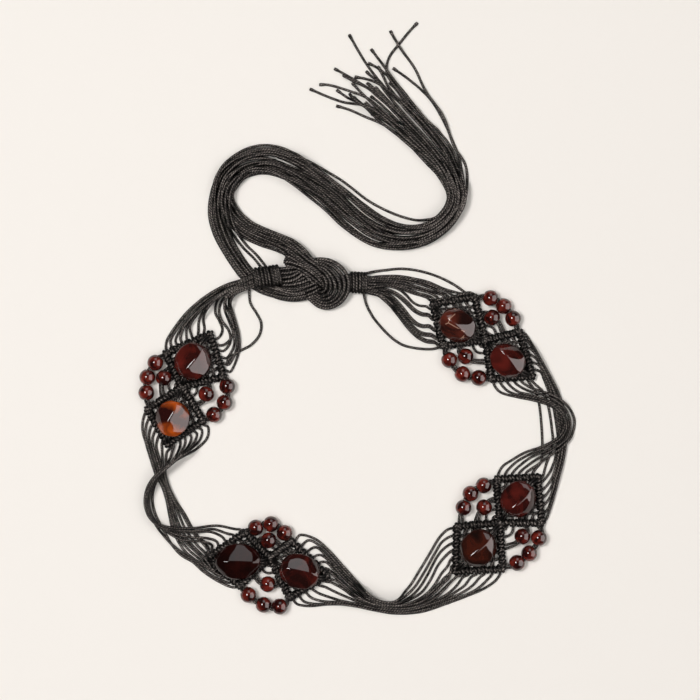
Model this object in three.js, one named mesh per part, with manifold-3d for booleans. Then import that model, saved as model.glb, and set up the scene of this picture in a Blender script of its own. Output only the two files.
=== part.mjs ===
import * as THREE from 'three';
import { mergeVertices } from 'three/addons/utils/BufferGeometryUtils.js';
import Module from 'manifold-3d';

// A knotted cord belt lying closed on a table, in millimetres, +Z up.
// Places in plan are read on a plan sheet whose x runs right and whose y runs down,
// and every one of them is turned into a share of the named size that it follows.

const wasm = await Module();
wasm.setup();

// The closed loop and the tail beyond its knot.
const LOOP_WIDTH = 271;
const LOOP_DEPTH = 221.5;
const TAIL_REACH = 162;

// One cord, and the flat bands and bundles that several of them make.
const CORD_DIAMETER = 1.6;
const BAND_WIDTH = 4.4;
const BAND_FOOT = 8.4;
const BAND_HEIGHT = 3.4;
const BUNDLE_WIDTH = 10.2;
const BUNDLE_HEIGHT = 4.4;
const TAIL_HEIGHT = 5.2;
const LOCK_STEP = 0.2;
const KNOT_STRAND = 8.6;
const KNOT_SIDES = 8;
const LOOSE_CORD = { sides: 8, steps: 14 };

// The knotted rows that edge each diamond.
const DIAMOND_LENGTH = 38;
const DIAMOND_WIDTH = 36.5;
const ROW_WIDTH = 4.4;
const ROW_HEIGHT = 4.2;
const ROW_OVERRUN = 1.5;
const KNOTS_PER_ROW = 6;
const FIRST_KNOT = 0.7;

// The knots, counted from the crossing, that the two arcs of small beads hang on.
const OUTER_ARC_KNOT = 5.5;
const INNER_ARC_KNOT = 3.5;

// The beads, and the cord pair that each is threaded on.
const LARGE_BEAD_LENGTH = 22.5;
const LARGE_BEAD_WIDTH = 22.5;
const LARGE_BEAD_THICKNESS = 13;
const LARGE_BEAD_TWIST = 50;
const LARGE_BEAD_LIFT = 2.4;
const SMALL_BEAD_DIAMETER = 9.6;
const SMALL_BEAD_LENGTH = 8.4;
const SMALL_BEAD_SIDES = 10;
const THREAD_DIAMETER = 2.2;
const THREAD_SIDES = 5;
const BORE_DIAMETER = 4;
const RIM_WIDTH = 0.9;

// How far from a bead's middle its cord pair bends, as a share of the bead's length.
const OUTER_BEND = 0.51;
const INNER_BEND = 0.58;
const LARGE_BEND = 0.52;

// The wound whippings beside the knot.
const WHIPPING_WIDTH = 13.8;
const WHIPPING_HEIGHT = 8.2;
const WHIPPING_SIDES = 12;
const WHIPPING_EDGE = { share: 0.14, size: 0.92 };
const WHIPPING_BORE = { wide: 1.06, high: 1.24 };

// The air kept between two pieces that touch on the real belt.
const GAP = 0.3;

// What the plan sheet measures where a named size has the value above.
const PLAN_LOOP = { left: 138, right: 575, top: 258, bottom: 615 };
const PLAN_KNOT = { x: 325, y: 283, reach: 261 };
const PLAN_DIAMOND = { length: 61, width: 59 };
const PLAN_BEAD_LENGTH = 13.6;

// Each motif is two diamonds that share a crossing. The near tip comes first as the
// belt is followed from its left end, and in is the side of the waist.
const MOTIFS = [
  {
    name: 'left', crossing: [182.5, 386.8],
    near: { tip: [210, 334], in: [224, 376.6], out: [165.6, 353.5], bead: [193.5, 361.3], long: 1.02, wide: 1 },
    far: { tip: [168, 444], in: [203.5, 420.5], out: [147.8, 409], bead: [173.5, 418.2], long: 0.97, wide: 0.97 },
    inBeads: { middle: [225, 402.4], first: [227.8, 386.2], last: [214.6, 414.6], inner: [206.8, 393.9] },
    outBeads: { middle: [148, 377.1], first: [156, 362.6], last: [147, 392.3], inner: [164.4, 377.8] },
  },
  {
    name: 'lower_left', crossing: [270, 557.5],
    near: { tip: [207, 558], in: [245.5, 531.6], out: [240, 585.5], bead: [238.8, 560.2], long: 1.24, wide: 1.02 },
    far: { tip: [327, 575], in: [291.5, 540.5], out: [289.5, 597.5], bead: [300, 570], long: 1.1, wide: 0.96 },
    inBeads: { middle: [271.2, 523.4], first: [256.9, 526.7], last: [284.8, 532.1], inner: [268.9, 539] },
    outBeads: { middle: [263.8, 603.9], first: [248.7, 594.1], last: [279.9, 605.7], inner: [267.9, 583.4] },
  },
  {
    name: 'lower_right', crossing: [499.5, 522.5],
    near: { tip: [455.2, 571], in: [456.8, 525.9], out: [502.3, 568.7], bead: [477.8, 546.5], long: 1.04, wide: 1 },
    far: { tip: [537.4, 476.8], in: [496, 479], out: [541.5, 522.8], bead: [517.3, 498], long: 1, wide: 0.98 },
    inBeads: { middle: [470, 493.1], first: [463, 507], last: [482.6, 485.2], inner: [483.6, 506.7] },
    outBeads: { middle: [528.7, 552.6], first: [516.8, 561.8], last: [538.3, 537.3], inner: [521.8, 535.8] },
  },
  {
    name: 'right', crossing: [485.4, 340.1],
    near: { tip: [532.1, 376], in: [490.8, 379.1], out: [519.1, 331.7], bead: [506.5, 360.4], long: 1, wide: 0.88 },
    far: { tip: [432.7, 304.5], in: [442.6, 346.2], out: [474, 296.5], bead: [456.8, 325.9], long: 1.02, wide: 0.88 },
    inBeads: { middle: [462.1, 374.1], first: [478.2, 378], last: [448.7, 360], inner: [465.2, 356.5] },
    outBeads: { middle: [503.2, 306.3], first: [512.2, 318.2], last: [490.8, 298.8], inner: [491.6, 317.7] },
  },
];

// Between two motifs the cords run as bands of three. Each band leaves a row at the
// knot counted from the tip and reaches the other row by the plan points named here.
const LINKS = [
  {
    name: 'strand_link_left', from: 0, to: 1,
    bands: [
      { leave: ['in', 5], reach: ['in', 5], via: [[186, 459], [163, 474], [149, 497], [154, 518], [173, 529], [205, 527]] },
      { leave: ['in', 2], reach: ['in', 2], via: [[172, 461], [157, 480], [152, 499], [160, 522], [184, 537]] },
      { leave: ['out', 2], reach: ['out', 2], via: [[158, 461], [168, 486], [172, 506], [170, 528], [184, 548]] },
      { leave: ['out', 5], reach: ['out', 5], via: [[148, 452], [156, 478], [167, 499], [164, 530], [181, 556], [203, 573]] },
    ],
  },
  {
    name: 'strand_link_lower', from: 1, to: 2,
    bands: [
      { leave: ['in', 5], reach: ['in', 5], via: [[324, 548], [350, 575], [372, 596], [389, 602], [404, 597], [418, 581], [435, 551]] },
      { leave: ['in', 2], reach: ['in', 2], via: [[338, 580], [362, 600], [389, 606], [412, 600], [432, 578]] },
      { leave: ['out', 2], reach: ['out', 2], via: [[332, 592], [360, 604], [391, 608], [425, 603], [452, 586]] },
      { leave: ['out', 5], reach: ['out', 5], via: [[312, 603], [350, 607], [395, 612], [438, 605], [478, 590]] },
    ],
  },
  {
    name: 'strand_link_right', from: 2, to: 3,
    bands: [
      { leave: ['in', 5], reach: ['in', 5], via: [[511, 465], [538, 454], [559, 442], [568, 427], [560, 411], [540, 403], [514, 396]] },
      { leave: ['in', 2], reach: ['in', 2], via: [[539, 462], [541, 430], [538, 403]] },
      { leave: ['out', 2], reach: ['out', 2], via: [[553, 470], [555, 445], [552, 422], [549, 398]] },
      { leave: ['out', 5], reach: ['out', 5], via: [[557, 495], [567, 465], [572, 436], [571, 410], [559, 382]] },
    ],
  },
];

// At the two ends the bands gather into the neck that runs through a whipping.
const LEADS = [
  {
    name: 'left_lead', motif: 0, diamond: 'near',
    neck: [[245, 281], [254, 279], [281, 275.2], [302, 277]], neckLevel: 3, foot: [234, 288],
    bands: [
      { leave: ['out', 5], via: [[172, 337], [184, 319], [203, 302], [225, 291]] },
      { leave: ['out', 2], via: [[198, 322], [208, 308], [226, 293]] },
      { leave: ['in', 2], via: [[224, 332], [228, 312], [230, 296]] },
      { leave: ['in', 5], via: [[233, 358], [237, 340], [234, 318], [232, 299]] },
    ],
  },
  {
    name: 'right_lead', motif: 3, diamond: 'far',
    neck: [[376, 283.6], [366.3, 283.2], [348.4, 282.3], [338, 281]], neckLevel: 0, foot: [384, 284.4],
    bands: [
      { leave: ['out', 5], via: [[450, 290], [434, 284.5], [415, 281], [394, 281]] },
      { leave: ['out', 2], via: [[436, 294], [418, 288], [397, 284]] },
      { leave: ['in', 2], via: [[423, 315], [410, 305], [398, 294], [389, 287]] },
      { leave: ['in', 5], via: [[425, 337], [412, 328], [399, 311], [388, 291]] },
    ],
  },
];

const WHIPPINGS = [
  { name: 'left_whipping', start: [254.6, 278.8], end: [280.4, 275.3], neckLevel: 3 },
  { name: 'right_whipping', start: [348.6, 282.3], end: [366, 283.2], neckLevel: 0 },
];

// The tie knot, strand by strand. Level is counted in cords above the table.
const KNOT_STRANDS = [
  { wide: 1, route: [[310, 262, 5], [324, 264, 7], [337, 270, 7.5], [340, 282, 7], [337, 293, 5], [324, 299, 3.2], [311, 295, 2.8]] },
  { wide: 0.95, route: [[334, 288, 4], [321, 278, 5.6], [308, 270, 6], [299, 265, 5.6]] },
  { wide: 0.85, route: [[334, 282, 3.2], [318, 291, 3], [303, 294, 2.8]] },
  { wide: 0.9, route: [[300, 277, 4.6], [312, 279, 4.6], [326, 283, 3.8]] },
];

// The tail: two roots join in one bundle, which ends in a splayed fringe.
const TAIL_ROOTS = [
  { high: 0.86, route: [[299, 262, 11, 2], [285, 250, 10, 0.8], [264, 239, 10, 0], [246, 230, 10.5, 0], [230, 215, 11, 0], [223, 203, 12, 0]] },
  { high: 0.8, route: [[301, 294, 8, 0], [285, 295, 9, 0], [265, 290, 9.5, 0], [250, 278, 9.5, 0], [231, 251, 9.5, 0], [221, 230, 9.5, 0], [217, 208, 10, 0]] },
];
const TAIL_BODY = [
  [221.5, 214, 17], [221.5, 203, 17.4], [226, 183, 15.8], [237, 170, 15.6], [251, 163, 16.4], [269, 161.5, 17.6],
  [291, 169, 19], [313, 182, 19.6], [334, 198, 20], [354, 216, 20.6], [377, 231, 20], [401, 237, 16.6],
  [425, 234, 13.6], [446, 220, 11.6], [456.5, 200, 12.4], [457, 182, 14.4], [448, 162, 15.8], [430, 144, 17.6], [414, 130, 18.4],
];
const FRINGE_LOCKS = [
  [[426, 142, 7], [398, 122, 6], [366, 112, 4], [337, 105, 2.6]],
  [[424, 140, 7], [392, 114, 6], [350, 97, 4.4], [312, 88, 3]],
  [[422, 137, 7], [392, 108, 6], [362, 88, 4.4], [334, 69, 3]],
  [[424, 136, 7], [398, 104, 6], [374, 74, 4], [350, 36, 2.4]],
  [[426, 136, 7], [404, 106, 6], [388, 76, 4.4], [371, 50, 2.8]],
  [[430, 138, 6], [412, 110, 5], [392, 72, 3.6], [396, 50, 2.6], [417, 25, 2.2]],
  [[440, 146, 5], [426, 100, 3.2], [407, 64, 2.6], [390, 32, 2.4]],
];

const LOOSE_CORDS = [
  { name: 'left_loose_cord', leave: [249.6, 292, 1.4], reach: [0, 'near', 'in', 6.5],
    via: [[250, 303, 0.6], [260, 320, 0.6], [260, 335, 0.6], [250, 348, 0.6], [240, 362, 0.6]] },
  { name: 'upper_loose_cord', leave: [368.4, 273.4, 2], reach: [3, 'far', 'out', 6.6],
    via: [[384, 270.6, 0.7], [404, 268.6, 0.6], [433, 274, 0.6], [460, 284, 0.6], [471, 291, 0.6]] },
  { name: 'lower_loose_cord', leave: [368.2, 294, 1.6], reach: [3, 'far', 'in', 6.3],
    via: [[371, 312, 0.6], [384, 332, 0.6], [402, 346, 0.6], [424, 350, 0.6]] },
];

const CORD_LOOK = new THREE.MeshStandardMaterial({ color: 0x322d2b, roughness: 0.6, metalness: 0 });
const LARGE_BEAD_LOOK = new THREE.MeshStandardMaterial({ color: 0x46100a, roughness: 0.12, metalness: 0 });
const SMALL_BEAD_LOOK = new THREE.MeshStandardMaterial({ color: 0x5a1712, roughness: 0.12, metalness: 0 });

const belt = new THREE.Group();

// Plan point of the loop, as shares of its width and depth.
function loopAt([x, y]) {
  const across = (x - PLAN_LOOP.left) / (PLAN_LOOP.right - PLAN_LOOP.left);
  const deep = (PLAN_LOOP.bottom - y) / (PLAN_LOOP.bottom - PLAN_LOOP.top);
  return new THREE.Vector2(across * LOOP_WIDTH, deep * LOOP_DEPTH);
}

// Plan point of the tail, as shares of its reach beyond the knot.
function tailAt([x, y]) {
  const share = TAIL_REACH / PLAN_KNOT.reach;
  const knot = loopAt([PLAN_KNOT.x, PLAN_KNOT.y]);
  return new THREE.Vector2(knot.x + (x - PLAN_KNOT.x) * share, knot.y + (PLAN_KNOT.y - y) * share);
}

// Plan point of a motif, as shares of the diamond's length and width from its crossing.
function motifAt(motif, [x, y]) {
  const axis = motifAxis(motif);
  const side = new THREE.Vector2(-axis.y, axis.x);
  const offset = new THREE.Vector2(x - motif.crossing[0], motif.crossing[1] - y);
  const along = offset.dot(axis) * DIAMOND_LENGTH / PLAN_DIAMOND.length;
  const across = offset.dot(side) * DIAMOND_WIDTH / PLAN_DIAMOND.width;
  return loopAt(motif.crossing).addScaledVector(axis, along).addScaledVector(side, across);
}

function motifAxis(motif) {
  const [nearX, nearY] = motif.near.tip;
  const [farX, farY] = motif.far.tip;
  return new THREE.Vector2(farX - nearX, nearY - farY).normalize();
}

function raised(point, z) {
  return new THREE.Vector3(point.x, point.y, z);
}

// A closed body over rings of points; a ring of rings has no caps.
function loft(rings, isRing) {
  const count = rings[0].length;
  const positions = rings.flat().flatMap((point) => [point.x, point.y, point.z]);
  const faces = [];
  const last = isRing ? rings.length : rings.length - 1;
  for (let row = 0; row < last; row += 1) {
    const next = (row + 1) % rings.length;
    for (let column = 0; column < count; column += 1) {
      const beside = (column + 1) % count;
      const [a, b] = [row * count + column, row * count + beside];
      const [c, d] = [next * count + beside, next * count + column];
      faces.push(a, b, c, a, c, d);
    }
  }
  if (!isRing) {
    const start = (rings.length - 1) * count;
    for (let column = 1; column < count - 1; column += 1) {
      faces.push(0, column + 1, column);
      faces.push(start, start + column, start + column + 1);
    }
  }
  const geometry = new THREE.BufferGeometry();
  geometry.setAttribute('position', new THREE.Float32BufferAttribute(positions, 3));
  geometry.setIndex(faces);
  return geometry;
}

// Sections of cords that lie side by side, as shares of half their width and their height.
const BAND_SECTION = [[-1, 0], [1, 0], [0.7, 1], [-0.7, 1]];
const ROW_SECTION = [[-1, 0], [1, 0], [1, 1], [-1, 1]];
const BUNDLE_SECTION = [[-0.86, 0], [0.86, 0], [1, 0.45], [0.8, 1], [-0.8, 1], [-1, 0.45]];
const NECK_SECTION = [[-0.6, 0], [0.6, 0], [1, 0.5], [0.6, 1], [-0.6, 1], [-1, 0.5]];

// A band of cords: each station has its plan point, its width and its underside.
function ribbon(stations, height, section) {
  const rings = stations.map((station, index) => {
    const before = stations[Math.max(index - 1, 0)].point;
    const after = stations[Math.min(index + 1, stations.length - 1)].point;
    const side = new THREE.Vector2(before.y - after.y, after.x - before.x).setLength(station.width / 2);
    return section.map(([across, up]) => new THREE.Vector3(
      station.point.x + side.x * across, station.point.y + side.y * across, station.base + up * height));
  });
  return loft(rings, false);
}

// The same band, drawn as a smooth curve through few stations.
function smoothRibbon(stations, height, section, steps) {
  const centre = new THREE.CatmullRomCurve3(stations.map((s) => raised(s.point, s.base)), false, 'centripetal');
  const drawn = [];
  for (let step = 0; step <= steps; step += 1) {
    const share = step / steps;
    const place = centre.getPoint(share);
    const reach = share * (stations.length - 1);
    const index = Math.min(Math.floor(reach), stations.length - 2);
    const width = THREE.MathUtils.lerp(stations[index].width, stations[index + 1].width, reach - index);
    drawn.push({ point: new THREE.Vector2(place.x, place.y), base: Math.max(place.z, 0), width });
  }
  return ribbon(drawn, height, section);
}

function polygon(diameter, sides) {
  const shape = new THREE.Shape();
  for (let corner = 0; corner < sides; corner += 1) {
    const turn = (corner / sides) * 2 * Math.PI;
    const [x, y] = [Math.cos(turn) * diameter / 2, Math.sin(turn) * diameter / 2];
    if (corner === 0) shape.moveTo(x, y);
    else shape.lineTo(x, y);
  }
  shape.closePath();
  return shape;
}

// Straight stretches between points, with one ring of a tube at each of them.
class BentPath extends THREE.Curve {
  constructor(points) {
    super();
    this.points = points;
  }

  getPointAt(share) {
    return this.points[Math.round(share * (this.points.length - 1))].clone();
  }

  getTangentAt(share) {
    const index = Math.round(share * (this.points.length - 1));
    const here = this.points[index];
    const before = this.points[index - 1] ?? here;
    const after = this.points[index + 1] ?? here;
    const arriving = here.clone().sub(before).normalize();
    return after.clone().sub(here).normalize().add(arriving).normalize();
  }
}

function cordTube(path, diameter, sides, steps) {
  return new THREE.ExtrudeGeometry(polygon(diameter, sides), { steps, extrudePath: path, bevelEnabled: false });
}

// Geometry to a solid that can be cut and joined, and back again.
function solidOf(geometry) {
  const bare = geometry.clone();
  bare.deleteAttribute('normal');
  bare.deleteAttribute('uv');
  const merged = mergeVertices(bare, 1e-4);
  const vertProperties = new Float32Array(merged.attributes.position.array);
  const triVerts = new Uint32Array(merged.index.array);
  return new wasm.Manifold(new wasm.Mesh({ numProp: 3, vertProperties, triVerts }));
}

function geometryOf(solid) {
  const cut = solid.getMesh();
  const geometry = new THREE.BufferGeometry();
  geometry.setAttribute('position', new THREE.BufferAttribute(cut.vertProperties, 3));
  geometry.setIndex(new THREE.BufferAttribute(cut.triVerts, 1));
  return geometry;
}

// A cut can leave crumbs beyond a row: the piece that is wanted is the largest.
function largestOf(solid) {
  return solid.decompose().reduce((best, piece) => (piece.volume() > best.volume() ? piece : best));
}

function joined(geometries) {
  return geometries.map(solidOf).reduce((whole, piece) => whole.add(piece));
}

function addNode(name, geometry, look) {
  const mesh = new THREE.Mesh(geometry, look.clone());
  mesh.name = name;
  belt.add(mesh);
  return mesh;
}

// The row from a tip or the crossing to a side corner of one diamond.
function rowEnds(motif, diamond, start, side) {
  const from = start === 'tip' ? motifAt(motif, motif[diamond].tip) : loopAt(motif.crossing);
  return [from, motifAt(motif, motif[diamond][side])];
}

// The place of a knot on a row, counted from the row's start.
function knotOn(motif, diamond, start, side, count) {
  const [from, to] = rowEnds(motif, diamond, start, side);
  return from.lerp(to, (count - 1 + FIRST_KNOT) / KNOTS_PER_ROW);
}

function rowBars(motif, clear) {
  const bars = [];
  for (const diamond of ['near', 'far']) {
    for (const start of ['tip', 'crossing']) {
      for (const side of ['in', 'out']) {
        const [from, to] = rowEnds(motif, diamond, start, side);
        const overrun = to.clone().sub(from).setLength(ROW_OVERRUN + clear);
        const width = ROW_WIDTH + 2 * clear;
        const ends = [from.clone().sub(overrun), to.clone().add(overrun)];
        const stations = ends.map((point) => ({ point, width, base: -clear }));
        bars.push(ribbon(stations, ROW_HEIGHT + 2 * clear, ROW_SECTION));
      }
    }
  }
  return bars;
}

// Where the four small beads beside a crossing sit, and the two arcs they hang on.
function smallBeadArcs(motif, side) {
  const places = motif[`${side}Beads`];
  const middle = motifAt(motif, places.middle);
  const beside = (place) => {
    const step = new THREE.Vector2(place[0] - places.middle[0], places.middle[1] - place[1]);
    return middle.clone().addScaledVector(step, SMALL_BEAD_LENGTH / PLAN_BEAD_LENGTH);
  };
  const outer = [beside(places.first), middle, beside(places.last)];
  const inner = [motifAt(motif, places.inner)];
  const arcs = [[outer, OUTER_ARC_KNOT, OUTER_BEND], [inner, INNER_ARC_KNOT, INNER_BEND]];
  return arcs.map(([beads, count, bend]) => {
    const start = raised(knotOn(motif, 'near', 'crossing', side, count), ROW_HEIGHT / 2);
    const end = raised(knotOn(motif, 'far', 'crossing', side, count), ROW_HEIGHT / 2);
    const centres = beads.map((bead) => raised(bead, SMALL_BEAD_DIAMETER / 2));
    return threadThrough(start, centres, end, SMALL_BEAD_LENGTH * bend);
  });
}

// A cord pair that runs straight through each bead and bends at its mouths.
function threadThrough(start, centres, end, bend) {
  const stops = [start, ...centres, end];
  const axes = centres.map((centre, index) => stops[index + 2].clone().sub(stops[index]).setZ(0).normalize());
  const mouths = centres.flatMap((centre, index) => [-bend, bend].map(
    (reach) => centre.clone().addScaledVector(axes[index], reach)));
  const tube = cordTube(new BentPath([start, ...mouths, end]), THREAD_DIAMETER, THREAD_SIDES, mouths.length + 1);
  return { tube, centres, axes };
}

// A round bead that is flattened a little at its two mouths.
function smallBead() {
  const [half, radius, bore] = [SMALL_BEAD_LENGTH / 2, SMALL_BEAD_DIAMETER / 2, BORE_DIAMETER / 2];
  const [shoulder, rise] = [radius * 0.88, half * 0.6];
  const profile = [
    [bore, -half], [shoulder, -rise], [radius, 0], [shoulder, rise], [bore, half], [bore, -half],
  ];
  return new THREE.LatheGeometry(profile.map(([x, y]) => new THREE.Vector2(x, y)), SMALL_BEAD_SIDES);
}

// A nugget with four rounded ridges that turn about its bore, which runs along Y.
function largeBead(long, wide) {
  const half = LARGE_BEAD_LENGTH * long / 2;
  const bore = BORE_DIAMETER / 2;
  const valley = 0.93;
  const girths = [[-1, 0], [-0.86, 0.52], [-0.5, 0.87], [0, 1], [0.5, 0.87], [0.86, 0.52], [1, 0]];
  const ring = (share, girth) => {
    const points = [];
    for (let corner = 0; corner < 8; corner += 1) {
      const swell = corner % 2 === 0 ? 1 : valley;
      const turn = corner * Math.PI / 4 + THREE.MathUtils.degToRad(LARGE_BEAD_TWIST) * share / 2;
      const rim = (size) => bore + RIM_WIDTH + Math.max(size / 2 * swell - bore - RIM_WIDTH, 0) * girth;
      const x = Math.cos(turn) * rim(LARGE_BEAD_WIDTH * wide);
      const z = Math.sin(turn) * rim(LARGE_BEAD_THICKNESS);
      points.push(new THREE.Vector3(x, share * half, z));
    }
    return points;
  };
  const hole = (share) => ring(share, 0).map((point) => {
    const flat = new THREE.Vector2(point.x, point.z).setLength(bore);
    return new THREE.Vector3(flat.x, point.y, flat.y);
  });
  const skin = girths.map(([share, girth]) => ring(share, girth));
  return loft([...skin, hole(1), hole(-1)].reverse(), true);
}

// The cord pair through a large bead, from the tip of its diamond to the crossing.
function largeBeadThread(motif, diamond) {
  const { tip, bead, long } = motif[diamond];
  const centre = raised(motifAt(motif, bead), LARGE_BEAD_LIFT + LARGE_BEAD_THICKNESS / 2);
  const [start, end] = [motifAt(motif, tip), loopAt(motif.crossing)].map((point) => raised(point, ROW_HEIGHT / 2));
  return threadThrough(start, [centre], end, LARGE_BEAD_LENGTH * long * LARGE_BEND);
}

function placeBead(name, geometry, look, centre, axis) {
  const bead = addNode(name, geometry, look);
  bead.position.copy(centre);
  bead.rotation.z = Math.atan2(axis.y, axis.x) - Math.PI / 2;
}

function buildMotif(motif) {
  const pieces = rowBars(motif, 0);
  for (const diamond of ['near', 'far']) {
    const { long, wide } = motif[diamond];
    const { tube, centres, axes } = largeBeadThread(motif, diamond);
    pieces.push(tube);
    placeBead(`large_bead_${motif.name}_${diamond}`, largeBead(long, wide), LARGE_BEAD_LOOK, centres[0], axes[0]);
  }
  for (const side of ['in', 'out']) {
    let count = 0;
    for (const { tube, centres, axes } of smallBeadArcs(motif, side)) {
      pieces.push(tube);
      centres.forEach((centre, index) => {
        count += 1;
        placeBead(`small_bead_${motif.name}_${side}_${count}`, smallBead(), SMALL_BEAD_LOOK, centre, axes[index]);
      });
    }
  }
  addNode(`knotted_frame_${motif.name}`, geometryOf(joined(pieces)), CORD_LOOK);
}

// Three cords as one band, which spreads where it reaches a row.
function cordBand(start, via, end, endWidth) {
  const stations = via.map((place) => ({ point: loopAt(place), width: BAND_WIDTH, base: 0 }));
  stations.unshift({ point: start, width: BAND_FOOT, base: 0 });
  stations.push({ point: end, width: endWidth, base: 0 });
  return smoothRibbon(stations, BAND_HEIGHT, BAND_SECTION, stations.length);
}

function buildLink(link) {
  const [from, to] = [MOTIFS[link.from], MOTIFS[link.to]];
  const bands = link.bands.map(({ leave, reach, via }) => cordBand(
    knotOn(from, 'far', 'tip', ...leave), via, knotOn(to, 'near', 'tip', ...reach), BAND_FOOT));
  const rows = joined([...rowBars(from, GAP), ...rowBars(to, GAP)]);
  addNode(link.name, geometryOf(largestOf(joined(bands).subtract(rows))), CORD_LOOK);
}

function neckBase(level) {
  return level * CORD_DIAMETER + (WHIPPING_HEIGHT - BUNDLE_HEIGHT) / 2;
}

function buildLead(lead, knotSpace) {
  const motif = MOTIFS[lead.motif];
  const foot = loopAt(lead.foot);
  const bands = lead.bands.map(({ leave, via }) => cordBand(
    knotOn(motif, lead.diamond, 'tip', ...leave), via, foot, BAND_WIDTH));
  const base = neckBase(lead.neckLevel);
  const neck = lead.neck.map((place) => ({ point: loopAt(place), width: BUNDLE_WIDTH, base }));
  neck.unshift({ point: foot, width: BUNDLE_WIDTH, base: base / 3 });
  bands.push(ribbon(neck, BUNDLE_HEIGHT, NECK_SECTION));
  const spare = joined(rowBars(motif, GAP)).add(knotSpace);
  addNode(lead.name, geometryOf(largestOf(joined(bands).subtract(spare))), CORD_LOOK);
}

// A wound whipping: an oval sleeve round the neck of one end.
function buildWhipping({ name, start, end, neckLevel }) {
  const [from, to] = [loopAt(start), loopAt(end)];
  const way = to.clone().sub(from).normalize();
  const middle = neckBase(neckLevel) + BUNDLE_HEIGHT / 2;
  const oval = (share, width, height) => {
    const centre = from.clone().lerp(to, share);
    const points = [];
    for (let corner = 0; corner < WHIPPING_SIDES; corner += 1) {
      const turn = (corner + 0.5) * 2 * Math.PI / WHIPPING_SIDES;
      const across = Math.cos(turn) * width / 2;
      const up = Math.sin(turn) * height / 2;
      points.push(new THREE.Vector3(centre.x - way.y * across, centre.y + way.x * across, middle + up));
    }
    return points;
  };
  const outer = [WHIPPING_WIDTH, WHIPPING_HEIGHT];
  const edge = outer.map((size) => size * WHIPPING_EDGE.size);
  const bore = [(BUNDLE_WIDTH + 2 * GAP) * WHIPPING_BORE.wide, (BUNDLE_HEIGHT + 2 * GAP) * WHIPPING_BORE.high];
  const rings = [
    oval(0, ...edge), oval(WHIPPING_EDGE.share, ...outer), oval(1 - WHIPPING_EDGE.share, ...outer),
    oval(1, ...edge), oval(1, ...bore), oval(0, ...bore),
  ];
  addNode(name, loft(rings, true), CORD_LOOK);
}

function knotPieces(clear) {
  return KNOT_STRANDS.map(({ wide, route }) => {
    const path = new THREE.CatmullRomCurve3(
      route.map(([x, y, level]) => raised(loopAt([x, y]), level * CORD_DIAMETER)), false, 'centripetal');
    return cordTube(path, KNOT_STRAND * wide + 2 * clear, KNOT_SIDES, route.length - 1);
  });
}

function buildTail(knotSpace) {
  const body = TAIL_BODY.map(([x, y, width]) => ({ point: tailAt([x, y]), width, base: 0 }));
  const pieces = [smoothRibbon(body, TAIL_HEIGHT, BUNDLE_SECTION, body.length + 4)];
  for (const { high, route } of TAIL_ROOTS) {
    const stations = route.map(([x, y, width, level]) => (
      { point: tailAt([x, y]), width, base: level * CORD_DIAMETER }));
    pieces.push(smoothRibbon(stations, TAIL_HEIGHT * high, BUNDLE_SECTION, stations.length + 1));
  }
  FRINGE_LOCKS.forEach((lock, index) => {
    const stations = lock.map(([x, y, width]) => ({ point: tailAt([x, y]), width, base: 0 }));
    const height = CORD_DIAMETER + index * LOCK_STEP;
    pieces.push(smoothRibbon(stations, height, BAND_SECTION, lock.length));
  });
  addNode('tail', geometryOf(largestOf(joined(pieces).subtract(knotSpace))), CORD_LOOK);
}

function buildLooseCord({ name, leave, reach, via }) {
  const [motifIndex, diamond, side, count] = reach;
  const motif = MOTIFS[motifIndex];
  const row = raised(knotOn(motif, diamond, 'tip', side, count), ROW_HEIGHT / 2);
  const points = [leave, ...via].map(([x, y, level]) => raised(loopAt([x, y]), level * CORD_DIAMETER));
  const path = new THREE.CatmullRomCurve3([...points, row], false, 'centripetal');
  const cord = solidOf(cordTube(path, CORD_DIAMETER, LOOSE_CORD.sides, LOOSE_CORD.steps));
  addNode(name, geometryOf(largestOf(cord.subtract(joined(rowBars(motif, GAP))))), CORD_LOOK);
}

const knotSpace = joined(knotPieces(GAP));
MOTIFS.forEach(buildMotif);
LINKS.forEach(buildLink);
LEADS.forEach((lead) => buildLead(lead, knotSpace));
WHIPPINGS.forEach(buildWhipping);
addNode('tie_knot', geometryOf(joined(knotPieces(0))), CORD_LOOK);
buildTail(knotSpace);
LOOSE_CORDS.forEach(buildLooseCord);

// The belt stands on z = 0 with its box centred on the origin.
const box = new THREE.Box3().setFromObject(belt);
const middle = box.getCenter(new THREE.Vector3());
belt.position.set(-middle.x, -middle.y, -box.min.z);

export default belt;
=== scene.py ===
import math
import random

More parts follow.
